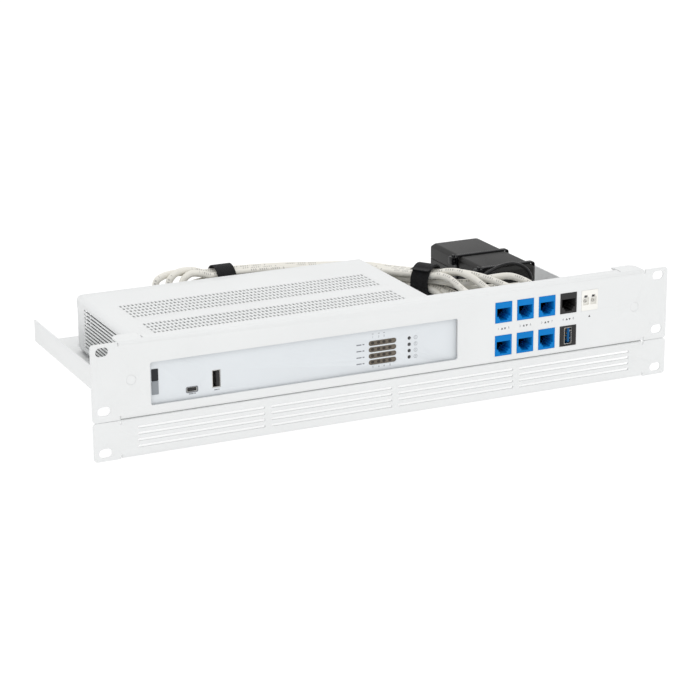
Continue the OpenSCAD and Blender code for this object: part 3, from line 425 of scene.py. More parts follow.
def top_cover():
    """Perforated cover: a flat sheet with all its slots, folded down over two round bends."""
    middle, half, r, top = -72, 119.5, 4.5, 78
    front, back, foot, sheet = 8, 164, 36, 1.2
    bend = r * math.pi / 2
    reach = half + bend + top - r - foot
    holes = [centred(x - middle, y0 + 7.4 * k, 1.7, 5, 0.84, 3)
             for y0 in (36.5, 89.5) for k in range(5)
             for x in (-176 + 3.2 * i for i in range(65))]
    holes += [centred(side * (half + bend + top - r - 70 + 2.95 * i), 103, 1.5, 90, 0.74, 3)
              for side in (-1, 1) for i in range(11)]
    bm = bmesh.new()
    slab(bm, [(-reach, front), (reach, front), (reach, back), (-reach, back)], holes,
         "z", -sheet, 0, 0.16)
    for side in (-1, 1):
        for k in range(7):
            bmesh.ops.bisect_plane(bm, geom=bm.verts[:] + bm.edges[:] + bm.faces[:], dist=1e-5,
                                   plane_co=(side * (half + bend * k / 6), 0, 0),
                                   plane_no=(1, 0, 0))
    for v in bm.verts:
        u, depth = abs(v.co.x), v.co.z
        turn = min(max(u - half, 0), bend) / r
        x = min(u, half) + (r + depth) * math.sin(turn)
        z = top - r + (r + depth) * math.cos(turn) - max(u - half - bend, 0)
        v.co = (middle + math.copysign(x, v.co.x), v.co.y, z)
    x0, x1 = middle - half - r, middle + half + r
    lip = [(x0, 68), (x1, 68)] + arc(x1 - r, top - r, r, 0, 90) + arc(x0 + r, top - r, r, 90, 180)
    slab(bm, lip, [disc(x, top - 5, 3.2) for x in (-180, middle, 40)], "y", back, back + sheet)
    piece("folded_cover", bm, "cover_paint", stands_for=["top_cover"], edge=0, sharp=40)


def panel_studs():
    """Painted heads flush with the front panel, and the threads behind it."""
    painted, threaded = bmesh.new(), bmesh.new()
    z = 58.7
    for x in (-211.3, 211.3):
        lathe(painted, "y", x, z, [(3, 1), (3.62, 1), (3.62, 0.14), (3.5, 0.03), (0.02, 0.01)])
        lathe(threaded, "y", x, z,
              [(0.02, 12), (1.7, 12)] + [(2 if k % 2 else 1.75, 11.6 - 0.35 * k)
                                         for k in range(28)] + [(2.5, 1.4), (2.5, 1), (0.02, 1)])
    piece("stud_heads", painted, "panel_paint", edge=0)
    piece("stud_threads", threaded, "zinc_steel", stands_for=["panel_studs"], edge=0, sharp=50)


def triangle(bm, x, z, size, front, up=1):
    """A printed arrowhead that points up, or down where up is -1."""
    prism(bm, [(x - size / 2, z - up * size * 0.4), (x + size / 2, z - up * size * 0.4),
               (x, z + up * size * 0.5)], "y", front - 0.02, front + 0.02)


def dash(bm, x, z, length, front, height):
    """A printed bar."""
    prism(bm, [(x - length / 2, z - height / 2), (x + length / 2, z - height / 2),
               (x + length / 2, z + height / 2), (x - length / 2, z + height / 2)],
          "y", front - 0.02, front + 0.02)


def panel_marks():
    """Small printed marks between the coupler rows."""
    bm, pale = bmesh.new(), bmesh.new()
    for i, x in enumerate(column_x):
        triangle(bm, x - (1.3 if i < 4 else 0), 56.7, 1.9, panel_print_y)
        if i < 4:
            triangle(bm, x + 1.3, 56.5, 1.9, panel_print_y, up=-1)
            numeral(pale, str(i + 1), x - 4.6, 56.7, 2.6, panel_print_y)
            numeral(pale, str(i + 5), x + 4.6, 56.7, 2.6, panel_print_y)
    piece("coupler_marks", bm, "ink", edge=0)
    piece("coupler_numbers", pale, "pale_ink", edge=0)


# ---- couplers ----
def snap_arms(bm, x, z, length):
    """Spring arm above, hook below."""
    roof, sole = z + face_h / 2, z - face_h / 2
    loft(bm, [[(x - 4, y, roof - 1), (x + 4, y, roof - 1), (x + 4, y, top), (x - 4, y, top)]
              for y, top in ((2, roof + 0.5), (4.6, roof + 1.2), (2 + length, roof + 1.1))])
    block(bm, x - 4, x + 4, 2.2, 5.2, sole - 1, sole + 1)


def coupler_front(bm, x, z, openings):
    slab(bm, centred(x, z, face_w, face_h, 0.5), openings, "y", coupler_y0, collar_y, 0.22)


def coupler_rear(bm, x, z, openings, y0, y1, edge):
    slab(bm, centred(x, z, face_w - 0.4, face_h - 2, 0.5), openings, "y", y0, y1, edge)


def network_coupler(name, x, z, look):
    """Keystone coupler; the latch notch of its mouth is stepped, and at the bottom."""
    mouth = moved([(-5.9, -3.3), (-4.3, -3.3), (-4.3, -4.9), (-3.1, -4.9), (-3.1, -6.6),
                   (3.1, -6.6), (3.1, -4.9), (4.3, -4.9), (4.3, -3.3), (5.9, -3.3),
                   (5.9, 3.3), (-5.9, 3.3)], x, z)
    bm = bmesh.new()
    coupler_front(bm, x, z, [mouth])
    coupler_rear(bm, x, z, [mouth], collar_y, 13.7, 0.1)
    coupler_rear(bm, x, z, [], 13.7, 18.7, 0.1)
    coupler_rear(bm, x, z, [centred(x, z, 11.8, 6.8, 0.2)], 18.7, coupler_y1, 0.2)
    snap_arms(bm, x, z, 16)
    # comb of the contact guide behind the mouth's upper edge
    for k in range(9):
        c = x + (k - 4) * contact_pitch - contact_pitch / 2
        block(bm, c + 0.34, c + 0.62, 4.4, 13.6, z + 2.2, z + 3.4)
    piece(name + "_body", bm, look, stands_for=[name], edge=0, sharp=25)


def coupler_contacts():
    """Eight sprung wires in each network coupler, from the roof down to the back."""
    bm = bmesh.new()
    for i in range(4):
        for z in (row_top, row_low)[:2 if i < 3 else 1]:
            for k in range(8):
                x = column_x[i] + (k - 3.5) * contact_pitch + 0.02
                line = [Vector((x, y, z + h)) for y, h in (
                    (4.9, 2.9), (5.6, 3.0), (8.5, 2.4), (11, 1.9), (12.6, 1.5), (13.2, 1.2))]
                loft(bm, [[p + 0.19 * Vector((math.cos(t), 0, math.sin(t)))
                           for t in (2 * math.pi * j / 8 for j in range(8))] for p in line])
    piece("contact_wires", bm, "gold_contact", stands_for=["coupler_contacts"], edge=0, sharp=60)


def usb_coupler():
    """Upright USB socket in a steel shell, with ribs on the face at both sides of it."""
    x, z = column_x[3], row_low
    body, shell, tongue = bmesh.new(), bmesh.new(), bmesh.new()
    way = centred(x, z, 6.6, 13.4, 0.2)
    coupler_front(body, x, z, [way])
    coupler_rear(body, x, z, [way], collar_y, coupler_y1, 0.2)
    snap_arms(body, x, z, 16)
    for side in (-1, 1):
        for k in range(6):
            block(body, x + side * 5.4 - 1.2, x + side * 5.4 + 1.2, -0.55, 0,
                  z - 6.3 + 2.4 * k, z - 5.3 + 2.4 * k)
    piece("usb_coupler_body", body, "black_plastic", stands_for=["usb_coupler"], edge=0.1)
    slab(shell, centred(x, z, 6.6, 13.4, 0.3), [centred(x, z, 5.8, 12.6, 0.3)], "y", 0, 32.4, 0.1)
    for side in (-1, 1):
        for h in (-3, 3):
            block(shell, x + side * 2.65 - 0.3, x + side * 2.65 + 0.3, 3, 8, z + h - 0.7,
                  z + h + 0.7)
    block(shell, x - 2.9, x + 2.9, 14, 16, z - 6.3, z + 6.3)
    piece("usb_shell", shell, "nickel_shell", stands_for=["usb_coupler_shell"], edge=0.1)
    block(tongue, x + 0.3, x + 2.2, 1.2, 14.5, z - 5.6, z + 5.6)
    piece("usb_tongue", tongue, "usb_tongue", edge=0.2)
    pads = bmesh.new()
    for k in range(4):
        block(pads, x + 0.18, x + 0.34, 2.2, 9, z - 4 + 2.5 * k, z - 3 + 2.5 * k)
    piece("usb_pads", pads, "gold_contact", edge=0)


def fibre_adapter():
    """Duplex adapter: two openings with a latch notch above, and a pale sleeve in each; a dark
    plate at the back of each notch is painted shade.
    """
    x, z = column_x[4], row_top
    body, inner, notch_shade, ferrules = [bmesh.new() for _ in range(4)]
    ways = []
    for side in (-1, 1):
        c = x + side * 3.4
        ways.append([(c - 2.7, z - 3.7), (c + 2.7, z - 3.7), (c + 2.7, z + 2.5),
                     (c + 1.6, z + 2.5), (c + 1.6, z + 4.2), (c - 1.6, z + 4.2),
                     (c - 1.6, z + 2.5), (c - 2.7, z + 2.5)])
        lathe(ferrules, "y", c, z - 0.6, [(1.5, 11), (1.5, 0.7), (1.35, 0.5), (0.66, 0.5),
                                          (0.62, 0.8), (0.62, 10)], 24)
        # painted shade: a dark plate at the back of each latch notch stands for the shade inside it
        block(notch_shade, c - 1.5, c + 1.5, 1.2, 1.8, z + 2.0, z + 4.1)
        block(inner, c - 2.65, c + 2.65, 1.4, 10.6, z - 3.65, z + 2.45)
    coupler_front(body, x, z, ways)
    slab(body, centred(x, z, face_w - 0.6, 11, 0.4), [], "y", collar_y, 21, 0.15)
    slab(body, centred(x, z, face_w - 0.6, 11, 0.4),
         [centred(x + s * 3.4, z - 0.6, 5.4, 6.2, 0.2) for s in (-1, 1)], "y", 21, 29.7, 0.15)
    snap_arms(body, x, z, 14)
    piece("fibre_body", body, "cream_plastic", stands_for=["fibre_adapter"], edge=0, sharp=25)
    piece("fibre_inner", inner, "cream_plastic", edge=0)
    piece("fibre_notch_shade", notch_shade, "ink", edge=0)
    piece("fibre_ferrules", ferrules, "ferrule", edge=0, sharp=50)


# ---- appliance front ----
def light_windows():
    """Four smoked windows with raised rims, and four dark spots where each one's lights are."""
    rims, lenses, spots = bmesh.new(), bmesh.new(), bmesh.new()
    for z in window_zs:
        slab(rims, centred(window_x, z, 24.5, 5.2, 2.58), [centred(window_x, z, 23.3, 4, 1.98)],
             "y", fascia_y - 0.12, fascia_y + 0.5, 0.1)
        slab(lenses, centred(window_x, z, 23.24, 3.94, 1.95), [],
             "y", fascia_y + 0.25, fascia_y + 2.7, 0.15)
        for x in light_xs:
            slab(spots, centred(x, z, 2.8, 2.2, 1.08), [],
                 "y", fascia_y + 0.19, fascia_y + 0.3, 0.03)
    piece("window_rims", rims, "fascia_plastic", edge=0, sharp=50)
    piece("window_lenses", lenses, "smoked_lens", stands_for=["port_light_windows"], edge=0)
    piece("window_spots", spots, "lit_spot", edge=0)


def status_lights():
    domes = bmesh.new()
    for z in window_zs:
        lathe(domes, "y", status_x, z, [(1.38, 8.9), (1.38, 3.0), (1.15, 2.76), (0.6, 2.66),
                                        (0.02, 2.64)], 24)
    piece("status_domes", domes, "clear_lens", stands_for=["status_lights"], edge=0, sharp=50)


def badge():
    """Upright badge at the left: a dark field above a grey one."""
    dark, grey = bmesh.new(), bmesh.new()
    for bm, z0, z1 in ((dark, 54.4, 63.5), (grey, 44, 54.3)):
        slab(bm, rounded(-195, z0, -189.7, z1, 0.5), [], "y", fascia_y - 0.4, fascia_y, 0.1)
    piece("badge_dark", dark, "badge_print", stands_for=["fascia_badge"], edge=0)
    piece("badge_grey", grey, "badge_grey", edge=0)


def fascia_prints():
    """Bars and numbers by the windows, lights and sockets, and a ring round each light's number."""
    marks, rings = bmesh.new(), bmesh.new()
    for i, z in enumerate(window_zs):
        dash(marks, -29, z, 4.2, fascia_y, 0.9)
        dash(marks, -25.3, z, 1.6, fascia_y, 0.9)
        numeral(marks, str(i + 1), ring_x, z, 1.9, fascia_y)
        slab(rings, disc(ring_x, z, 3.0, 24), [disc(ring_x, z, 2.5, 24)],
             "y", fascia_y - 0.02, fascia_y + 0.02, 0.005)
    for i, x in enumerate(light_xs):
        numeral(marks, str(2 * i + 2), x, 40.1, 2.3, fascia_y)
        if i < 3:
            numeral(marks, str(2 * i + 1), x, 63.7, 2.3, fascia_y)
            dash(marks, x, 66.3, 1.6, fascia_y, 0.35)
    for x, z, length in ((service_x, 40.6, 6), (front_usb_x, 40.9, 4.5)):
        dash(marks, x - length * 0.12, z, length * 0.6, fascia_y, 0.8)
        dash(marks, x + length * 0.38, z, length * 0.2, fascia_y, 0.8)
    piece("fascia_marks", marks, "pale_ink", edge=0)
    piece("fascia_rings", rings, "pale_ink", edge=0)


def front_sockets():
    """Rim of the service socket, painted shade inside it, and the tongue inside the USB socket."""
    trim, plastic = bmesh.new(), bmesh.new()
    slab(trim, centred(service_x, service_z, 9.6, 4.8, 1.2),
         [centred(service_x, service_z, 8.4, 3.6, 0.8)], "y", fascia_y - 0.1, fascia_y + 0.4, 0.08)
    piece("service_trim", trim, "pale_ink", edge=0)
    # painted shade: a dark plate just inside the service socket stands for the shade in its cavity,
    # narrower at the bottom; and the tongue of the USB socket
    outline = [(-3.6, 1.4), (3.6, 1.4), (3.2, -0.2), (1.6, -1.3), (-1.6, -1.3), (-3.2, -0.2)]
    # painted shade: this dark plate fills the service socket's opening
    prism(plastic, moved(outline, service_x, service_z), "y", 3.0, 3.5)
    block(plastic, front_usb_x - 0.1, front_usb_x + 2.4, 3.0, 16,
          front_usb_z - 5.8, front_usb_z + 5.8)
    piece("socket_shade_and_tongue", plastic, "black_plastic", edge=0.15)


def fascia():
    """Moulded front of the appliance, with all that is on it."""
    eased_copy("fascia", "fascia_plastic", 0.35)
    light_windows()
    status_lights()
    badge()
    fascia_prints()
    front_sockets()


# ---- power adapter ----
brick_x0, brick_x1 = 134, 181
brick_y0, brick_y1 = 105, 205
brick_top = 72.5
tie_ys = (brick_y0 + 5.5, brick_y0 + 50)
lead_x, lead_z = 167, 46                     # where the lead leaves the adapter


def adapter():
    """Two moulded shells and the board between them."""
    eased_copy("adapter_lower_shell", "adapter_plastic", 0.35)
    x0, x1, y0, y1 = brick_x0, brick_x1, brick_y0, brick_y1
    bm = bmesh.new()
    rings = []
    for z, inset in ((59.65, 0.45), (59.8, 0.12), (60.3, 0), (69.4, 0), (69.9, 0.25),
                     (71.9, 2.4), (72.3, 2.9), (brick_top, 3.6)):
        outline = rounded(x0 + inset, y0 + inset, x1 - inset, y1 - inset,
                          max(3 - 0.4 * inset, 1.2), 6)
        rings.append([(x, y, z) for x, y in outline])
    inside = [[(x, y, z) for x, y in rounded(x0 + 2.4, y0 + 2.4, x1 - 2.4, y1 - 2.4, 1, 6)]
              for z in (59.65, 69)]
    loft(bm, [inside[1], inside[0]] + rings)
    piece("adapter_lid", bm, "adapter_plastic", stands_for=["adapter_upper_shell"], edge=0.12,
          sharp=25)
    eased_copy("adapter_board", "circuit_board", 0.3)


def adapter_ties():
    """Two nylon ties; each head is a box on the left top edge, with a short cut tail."""
    bm = bmesh.new()
    band = 1.2
    under = 36.7                             # just below the plate that the adapter stands on
    outside = rounded(brick_x0 - band, under - band, brick_x1 + band, brick_top + band, 2.4, 6)
    inside = rounded(brick_x0, under, brick_x1, brick_top, 1.6, 6)
    for y in tie_ys:
        slab(bm, outside, [inside], "y", y - 2.4, y + 2.4, 0.25)
        slab(bm, centred(130.2, 69.4, 5.6, 6.4, 0.9), [centred(130.4, 69.6, 2.2, 3.4, 0.4)],
             "y", y - 3.6, y + 3.6, 0.3)
        block(bm, 129.9, 131.1, y - 2.3, y + 2.3, 70, 74.4)
        for k in range(24):
            block(bm, 137 + 1.7 * k, 137.9 + 1.7 * k, y - 1.6, y + 1.6, 73.6, 73.82)
    piece("tie_bands", bm, "tie_nylon", stands_for=["adapter_ties"], edge=0.1)


def strain_relief():
    """Ribbed sleeve where the lead leaves the adapter."""
    bm = bmesh.new()
    profile = [(3, 107), (3, 105), (3.9, 105), (3.9, 104)]
    for k in range(5):
        y = 103.6 - 1.3 * k
        profile += [(3.0 - 0.15 * k, y), (3.0 - 0.15 * k, y - 0.4), (3.6 - 0.2 * k, y - 0.5),
                    (3.6 - 0.2 * k, y - 1.1)]
    profile += [(2.4, 97.1), (2.2, 97), (0.02, 97)]
    lathe(bm, "y", lead_x, lead_z, [(0.02, 107)] + profile, 28)
    piece("ribbed_relief", bm, "adapter_plastic", stands_for=["strain_relief"], edge=0.1)


def dc_plug():
    """Round plug with a groove and a ribbed sleeve, and its barrel."""
    bm, metal = bmesh.new(), bmesh.new()
    lathe(bm, "y", jack_x, port_z, [
        (3, 164.7), (4.6, 164.75), (4.8, 165), (4.8, 169), (4.5, 169.3), (4.5, 170), (4.8, 170.3),
        (4.8, 178.5), (4.2, 180), (3.2, 181.5), (3.2, 182.4), (2.7, 182.5), (2.7, 183.2),
        (3.0, 183.3), (3.0, 184.2), (2.5, 184.3), (2.5, 185), (2.7, 185.1), (2.7, 186),
        (2.3, 186.2), (2.2, boot_end), (0.02, boot_end)], 28)
    lathe(metal, "y", jack_x, port_z, [(1.25, 155), (2.55, 155), (2.75, 155.3), (2.75, 164.8),
                                       (1.25, 164.8)], 28)
    piece("dc_plug_body", bm, "adapter_plastic", stands_for=["dc_plug"], edge=0.1)
    piece("dc_plug_barrel", metal, "nickel_shell", edge=0)


# ---- plugs and straps ----
def boot(bm, x, z, start, end, w, h):
    """Moulded sleeve of a plug, ribbed towards the cable."""
    length = end - start
    rings = [(start, w, h), (start + 0.3, w, h), (start + length * 0.4, w, h)]
    steps = 5
    for k in range(steps):
        y = start + length * (0.42 + 0.56 * k / steps)
        taper = 1 - 0.30 * k / steps
        rings += [(y, w * taper * 0.86, h * taper * 0.86),
                  (y + length * 0.03, w * taper * 0.86, h * taper * 0.86),
                  (y + length * 0.04, w * taper, h * taper),
                  (y + length * 0.09, w * taper, h * taper)]
    rings += [(end, 6.2, 6.2)]
    loft(bm, [[(px, y, pz) for px, pz in centred(x, z, a, b, min(a, b) * 0.3)]
              for y, a, b in rings])


def network_plugs():
    """Clear plugs with their eight wires showing, in ivory boots."""
    clear, boots, wires = bmesh.new(), bmesh.new(), bmesh.new()
    places = [(x, port_z, rear_nose, boot_end) for x in port_xs]
    places += [(x, row_top, coupler_nose, coupler_boot_end) for x in column_x[:4]]
    places += [(x, row_low, coupler_nose, coupler_boot_end) for x in column_x[:3]]
    for x, z, nose, end in places:
        slab(clear, centred(x, z, 11.6, 6.4, 0.3), [], "y", nose, nose + 21.4, 0.25)
        loft(clear, [[(x - 3, y, low), (x + 3, y, low), (x + 3, y, low - 1), (x - 3, y, low - 1)]
                     for y, low in ((nose + 14, z - 4.6), (nose + 20, z - 4.9))])
        for k in range(8):
            c = x + (k - 3.5) * contact_pitch
            block(wires, c - 0.2, c + 0.2, nose + 1, nose + 7, z + 2.4, z + 3.28)
        boot(boots, x, z, nose + 21.5, end, 11, 8.4)
    piece("clear_plugs", clear, "clear_plastic", edge=0, sharp=40)
    piece("plug_blades", wires, "gold_contact", edge=0)
    piece("plug_boots", boots, "plug_plastic", stands_for=["appliance_plugs", "coupler_plugs"],
          edge=0.1, sharp=30)


def usb_plugs():
    """Upright plugs at both ends of the USB cable, each with a steel shell and a ribbed boot."""
    bodies, shells = bmesh.new(), bmesh.new()
    for x, z, nose, end in ((rear_usb_x, port_z, 152.5, 190),
                            (column_x[3], row_low, coupler_nose, coupler_boot_end)):
        slab(shells, centred(x, z, 4.4, 12, 0.3), [centred(x, z, 3.8, 11.4, 0.3)],
             "y", nose, nose + 13.2, 0.08)
        block(shells, x + 0.2, x + 2.0, nose + 0.3, nose + 12, z - 5.6, z + 5.6)
        loft(bodies, [[(px, y, pz) for px, pz in centred(x, z, a, b, 1.9)]
                      for y, a, b in ((nose + 13, 7.4, 14.4), (nose + 13.6, 8, 15),
                                      (nose + 20, 8, 15), (nose + 21, 7.4, 14.2),
                                      (end - 12, 7.4, 14), (end - 8, 7, 9.5))])
        boot(bodies, x, z, end - 9, end, 6.8, 8.4)
    piece("usb_plug_shells", shells, "nickel_shell", edge=0)
    piece("usb_plug_bodies", bodies, "plug_plastic", edge=0.2, sharp=30)


def strap_band(bm, centre, yaw, width, start, lift):
    """Hook-and-loop band wound a little over once round the bundle, its free end lifted."""
    rings = []
    turned = Matrix.Translation(centre) @ Matrix.Rotation(math.radians(yaw), 4, "Z")
    steps = 92
    for k in range(steps + 1):
        angle = math.radians(start + 424 * k / steps)
        over = min(max((k / steps - 0.72) / 0.13, 0), 1)
        free = max(k / steps - 0.95, 0) / 0.05
        r = 12.3 + 1.0 * over * over * (3 - 2 * over) + lift * free * free
        ring = []
        for along, out in ((-width / 2, -0.42), (width / 2, -0.42), (width / 2, 0.42),
                           (-width / 2, 0.42)):
            ring.append(turned @ Vector((along, (r + out) * math.cos(angle),
                                         (r + out) * math.sin(angle))))
        rings.append(ring)
    loft(bm, rings)


def strap_left():
    """Left strap, its long tail lying along the front of the bundle."""
    bm = bmesh.new()
    strap_band(bm, (-66, 184, 70), 0, 16, 170, 0.8)
    rings = []
    for k in range(25):
        x = -60 + 36.5 * k / 24
        sag = 1.6 * (k / 24) ** 2
        shut = 0.55 if k == 24 else 0
        y = 171.3 + 0.25 * math.sin(k * 0.7)
        rings.append([(x, y - 0.5, 66.2 - sag + shut), (x, y + 0.5, 66.2 - sag + shut),
                      (x, y + 0.5, 76.4 - sag - shut), (x, y - 0.5, 76.4 - sag - shut)])
    loft(bm, rings)
    piece("left_strap", bm, "strap_fabric", stands_for=["strap_left"], edge=0.2, sharp=50)


def strap_right():
    """Right strap, where the bundle turns towards the couplers."""
    bm = bmesh.new()
    strap_band(bm, (81, 107.5, 70.4), -55, 16, 75, 3.6)
    piece("right_strap", bm, "strap_fabric", stands_for=["strap_right"], edge=0.2, sharp=50)


# ---- inside and behind the appliance ----
def fan_rotor():
    """Hub and seven swept blades, turning with the fan's joint."""
    bm = bmesh.new()
    x0, y0, z0 = -193.3, 120, 56             # outer face of the fan, and its axis
    lathe(bm, "x", y0, z0, [(0.02, x0 + 2), (7.6, x0 + 2), (8.4, x0 + 2.7), (8.5, x0 + 3.4),
                            (8.5, x0 + 17), (7.4, x0 + 17), (7.3, x0 + 4.2), (0.02, x0 + 4.2)], 40)
    for blade in range(7):
        rings = []
        for k in range(6):
            r = 8.2 + 9.9 * k / 5
            ring = []
            for x, t in ((0, -0.15), (3, -0.5), (8, -0.55), (12.5, -0.15),
                         (12.5, 0.15), (8, 0.55), (3, 0.5), (0, 0.15)):
                angle = 2 * math.pi * blade / 7 + 0.32 * k / 5 + (
                    t + 0.48 * (x - 6) - 0.010 * (x - 6) ** 2) / r
                ring.append((x0 + 2.8 + x, y0 + r * math.cos(angle), z0 + r * math.sin(angle)))
            rings.append(ring)
        loft(bm, rings)
    lathe(bm, "x", y0, z0, [(0.02, x0 + 4), (1, x0 + 4), (1, x0 + 18.5), (0.02, x0 + 18.5)], 20)
    piece("fan_blades", bm, "black_plastic", stands_for=["fan_rotor"], body="fan_rotor",
          edge=0.08, sharp=40)


def board_parts():
    """Main board with chips, memory, capacitors and coils."""
    eased_copy("main_board", "circuit_board", 0.1)
    top = 42.1
    chips, cans = bmesh.new(), bmesh.new()
    for x, y, w, d, h in ((-96, 96, 17, 17, 1.6), (-120, 70, 12, 12, 1.4), (26, 74, 11, 9, 1.3),
                          (-150, 60, 14, 8, 1.2), (-72, 128, 10, 10, 1.2), (24, 100, 8, 8, 1.1),
                          (-128, 100, 9, 14, 1.2), (-140, 100, 9, 14, 1.2)):
        slab(chips, centred(x, y, w, d, 0.4), [], "z", top, top + h, 0.15)
    for x, y, d, h in ((30, 118, 8, 11), (20, 118, 8, 11), (30, 130, 6.3, 8), (-176, 40, 6.3, 7),
                       (-168, 40, 6.3, 7), (-20, 50, 6.3, 7), (0, 132, 6.3, 8), (10, 132, 6.3, 8)):
        lathe(cans, "z", x, y, [(d / 2 - 0.3, top), (d / 2, top + 0.4), (d / 2, top + 1.2),
                                (d / 2 - 0.25, top + 1.5), (d / 2, top + 1.8),
                                (d / 2, top + h - 0.4), (d / 2 - 0.4, top + h)], 24)
    for x in port_xs:
        slab(chips, centred(x, 138, 13, 12, 0.5), [], "z", top, top + 5, 0.3)
    piece("board_chips", chips, "black_plastic", edge=0)
    piece("board_cans", cans, "aluminium", edge=0, sharp=50)


def rear_ports():
    """Contacts and lights of the rear sockets."""
    wires, lights = bmesh.new(), bmesh.new()
    for x in port_xs:
        for side in (-1, 1):
            block(lights, x + side * 4.2 - 1.1, x + side * 4.2 + 1.1, 162.9, 163.35, 53.5, 55.0)
        for k in range(8):
            c = x + (k - 3.5) * contact_pitch
            block(wires, c - 0.18, c + 0.18, 149.5, 152, 51.6, 52.2)
    piece("port_contacts", wires, "gold_contact", edge=0)
    piece("port_lights", lights, "clear_lens", edge=0.1)


# ---- cables ----
lane = 5.9                                   # between neighbouring cables in the bundle
trunk = [Vector(p) for p in (
    (-78, 184, 70), (-62, 184, 70), (-45, 184, 69.5), (-25, 184, 68.5), (-5, 184, 67),
    (15, 184, 65), (30, 183.5, 63.5), (46, 180, 62.8), (59, 171, 62.5), (67, 157, 63),
    (71, 142, 65), (73, 128, 67.5), (76.4, 114.1, 70), (85.6, 100.9, 70.5))]


def strand(first, outwards, up):
    """The bundle's middle line from a point on, moved sideways and up."""
    line = []
    for i in range(first, len(trunk)):
        d = trunk[min(i + 1, len(trunk) - 1)] - trunk[max(i - 1, 0)]
        line.append(trunk[i] + outwards * Vector((-d.y, d.x, 0)).normalized() + Vector((0, 0, up)))
    return line


def eased(points, n=6):
    """A smooth line through the points, the same curve as the CAD cables follow."""
    p = [Vector(q) for q in points]
    line = []
    for i in range(len(p) - 1):
        a, b, c, d = p[max(i - 1, 0)], p[i], p[i + 1], p[min(i + 2, len(p) - 1)]
        for t in (j / n for j in range(n)):
            line.append(0.5 * (2 * b + (c - a) * t + (2 * a - 5 * b + 4 * c - d) * t * t
                               + (3 * b - a - 3 * c + d) * t ** 3))
    return line + [p[-1]]


def tube_rings(line, radius, sides):
    """Round sections along a line. Each starts on the side that faces up and to the front."""
    rings = []
    print_side = Vector((-0.35, -0.75, 0.8))
    for i, p in enumerate(line):
        heading = (line[min(i + 1, len(line) - 1)] - line[max(i - 1, 0)]).normalized()
        up = (print_side - heading * print_side.dot(heading)).normalized()
        side = heading.cross(up)
        turns = [2 * math.pi * k / sides for k in range(sides)]
        rings.append([p + radius * (math.cos(t) * up + math.sin(t) * side) for t in turns])
    return rings


def cable(name, route, diameter, look, stands_for):
    """A round cable. Each point keeps its place along and around it, for the print marks."""
    line = eased(route)
    sides = 16
    bm = bmesh.new()
    loft(bm, tube_rings(line, diameter / 2, sides))
    o = piece(name, bm, look, stands_for=stands_for, edge=0, sharp=60)
    along, around = [o.data.attributes.new(n, "FLOAT", "POINT") for n in ("along", "around")]
    run = 0
    for i, p in enumerate(line):
        run += (p - line[i - 1]).length * MM if i else 0
        for k in range(sides):
            along.data[i * sides + k].value = run
            around.data[i * sides + k].value = min(k, sides - k) / sides * 2


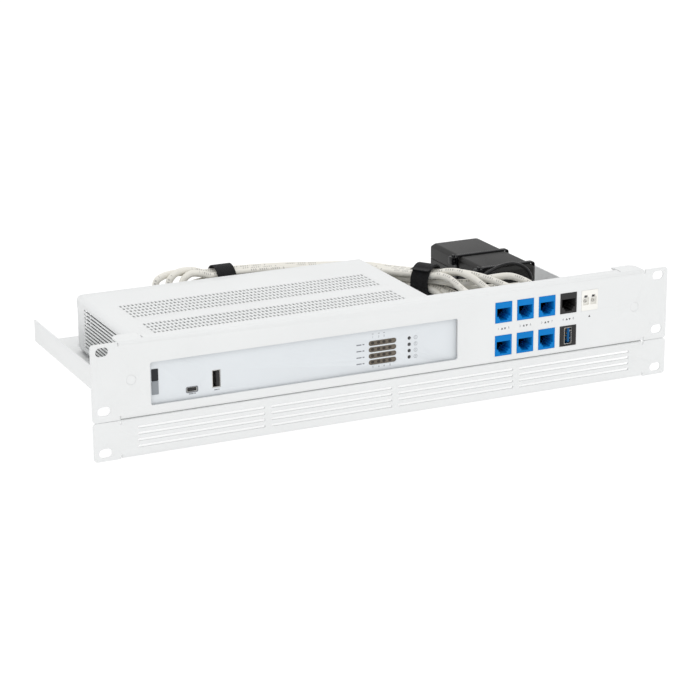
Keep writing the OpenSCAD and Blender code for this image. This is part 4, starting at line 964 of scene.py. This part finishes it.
def cables():
    route_1 = [(-108, 188, 49), (-108, 194, 49.2), (-106.3, 199.3, 51.2), (-100.5, 202, 55.5),
               (-94, 198.5, 59), (-89, 190.5, 60.5), (-83, 183.3, 61.8), (-74, 178.7, 63.8),
               *strand(1, -lane, -lane), (84.5, 91.5, 61.3), (88.5, 83, 54.5), (91.6, 74, 47.5),
               (93.1, 65, 43.8), (93.2, 57, 43.1)]
    route_2 = [(-91, 188, 49), (-91, 194, 49.8), (-90, 199.3, 53), (-87, 201.5, 58),
               (-82.5, 198.5, 62.3), (-77, 192, 64.2), (-70, 186, 64.1), *strand(1, 0, -lane),
               (91.3, 93.3, 61.3), (98.5, 86, 55.3), (106, 78, 48.5), (111.2, 68, 44),
               (112.4, 57, 43.1)]
    route_3 = [(-74, 188, 49), (-73.5, 193.5, 49.5), (-70, 199, 52), (-63, 201, 55.5),
               (-56, 198.5, 59.5), (-50, 193.5, 62.5), (-41, 190.3, 62.8), *strand(3, lane, -lane),
               (98.3, 96, 60.5), (108.5, 88.5, 55.3), (119.5, 80.5, 49), (128.6, 69.5, 44.2),
               (131.6, 57, 43.1)]
    route_4 = [(-57, 188, 49), (-56, 194, 50), (-52, 199.5, 53), (-47, 202.5, 58.5),
               (-46.5, 201.5, 65), (-51, 197, 69.6), (-61, 191.3, 70), (-76, 190, 69.8),
               (-92, 190, 67.3), (-103, 190, 62.8), (-113, 190, 61.8), (-120.3, 190, 65.5),
               (-120.3, 190, 73.4), (-113, 190, 77.5), (-102, 190, 78.4), (-90, 190, 77),
               *strand(0, lane, lane), (97, 94.5, 78.2), (105.5, 86, 78.2), (116, 76.5, 76),
               (126, 67, 72.2), (131.6, 57, 69.7)]
    route_5 = [(-40, 188, 49), (-40, 194.5, 50), (-38.5, 200.5, 54.5), (-37, 201, 61.5),
               (-38.5, 196, 67), (-47, 188, 69.5), (-60, 184.2, 69.9), (-74, 183.8, 69.7),
               (-85, 183.5, 67.5), (-94, 183, 62.6), (-103, 183, 61.5), (-110.5, 183.5, 66),
               (-111.5, 184, 74), (-104.5, 184, 80.5), (-93, 184, 81), (-84, 184, 78.3),
               *strand(0, 0, lane), (91, 92.5, 79.8), (98, 83, 80.8), (105, 74, 77.5),
               (110.5, 65.5, 72.2), (112.4, 57, 69.7)]
    route_6 = [(-23, 188, 49), (-23, 194, 50.5), (-22, 199, 55.5), (-22, 199, 62),
               (-25, 193.8, 67.3), (-31, 187, 68.6), (-41, 180, 69), (-56, 178.1, 69.9),
               (-70, 178, 70.1), (-80, 177.3, 68), (-88, 176.8, 63.5), (-95, 177, 61.5),
               (-102, 177.5, 66), (-102.5, 178, 74), (-96, 178, 79.5), (-87, 178.2, 78.8),
               *strand(0, -lane, lane), (84.8, 90.3, 77.6), (88.8, 81.5, 76.6), (91.9, 72.5, 72.6),
               (93.2, 64.5, 70.2), (93.2, 57, 69.7)]
    console = [(-6, 188, 49), (-6, 194, 50.5), (-4, 199, 55), (-1, 199, 61), (5, 193, 65),
               (13, 187, 65.3), *strand(6, 0, 0), (92.5, 94, 70.4), (101.5, 89.5, 70),
               (113, 85, 70.5), (126, 79.5, 73.5), (138, 71.5, 75.5), (147, 63.5, 72.5),
               (150.8, 57, 69.7)]
    usb = [(16, 190, 49), (16, 196, 51), (18, 200.5, 55), (22.5, 200.5, 60.5), (29, 195.5, 63.2),
           (37, 190.3, 62.8), *strand(7, lane, 0), (98.7, 98, 67.5), (109, 92.5, 64.5),
           (124, 87, 63.5), (140, 82, 63.5), (156, 77.5, 64), (168, 75, 62), (177, 73.5, 56),
           (177, 72.5, 47.5), (168, 72, 42.8), (157, 70, 42.8), (151.6, 64, 43), (150.8, 57, 43.1)]
    lead = [(167, 97, 46), (167, 92, 46), (167.2, 88, 49), (167.5, 86.8, 54.5), (168, 88, 61),
            (167.8, 90, 67.5), (165, 92, 73), (159, 94, 77), (151, 95.5, 78.3), (142, 97, 76.5),
            (132, 99, 71.5), (122, 102, 65), (113, 109, 59), (106, 121, 54.5), (99, 137, 52),
            (91, 154, 51), (82, 170, 50), (73, 183, 50), (62, 193, 49.5), (51, 198, 49),
            (43, 197.6, 49), (37.3, 194, 49), (36, 188, 49)]
    for name, route, length in (
            ("patch_cable_1", route_1, 0.315), ("patch_cable_2", route_2, 0.312),
            ("patch_cable_3", route_3, 0.302), ("patch_cable_4", route_4, 0.450),
            ("patch_cable_5", route_5, 0.427), ("patch_cable_6", route_6, 0.406),
            ("console_cable", console, 0.248), ("usb_cable", usb, 0.289)):
        cable(name + "_jacket", route, 5.6, "cable_jacket", [name])
    cable("dc_lead_jacket", lead, 3.0, "lead_jacket", ["dc_lead"])


def paint_nodes():
    """Every CAD node gets its slot's material; those that a piece replaces stay hidden."""
    for part in record["subparts"]:
        mesh = frame["nodes"][part["node"]].data
        mesh.materials.clear()
        mesh.materials.append(looks[part["material_slot"]])


set_camera()
set_studio()
eased_parts()
top_cover()
for column in range(3):
    for number, height in ((column + 1, row_top), (column + 4, row_low)):
        name = f"data_coupler_{number}"
        network_coupler(name, column_x[column], height, "blue_plastic")
network_coupler("console_coupler", column_x[3], row_top, "black_plastic")
usb_coupler()
fibre_adapter()
coupler_contacts()
fascia()
panel_studs()
panel_marks()
adapter()
adapter_ties()
strain_relief()
dc_plug()
network_plugs()
usb_plugs()
strap_left()
strap_right()
fan_rotor()
board_parts()
rear_ports()
cables()
paint_nodes()
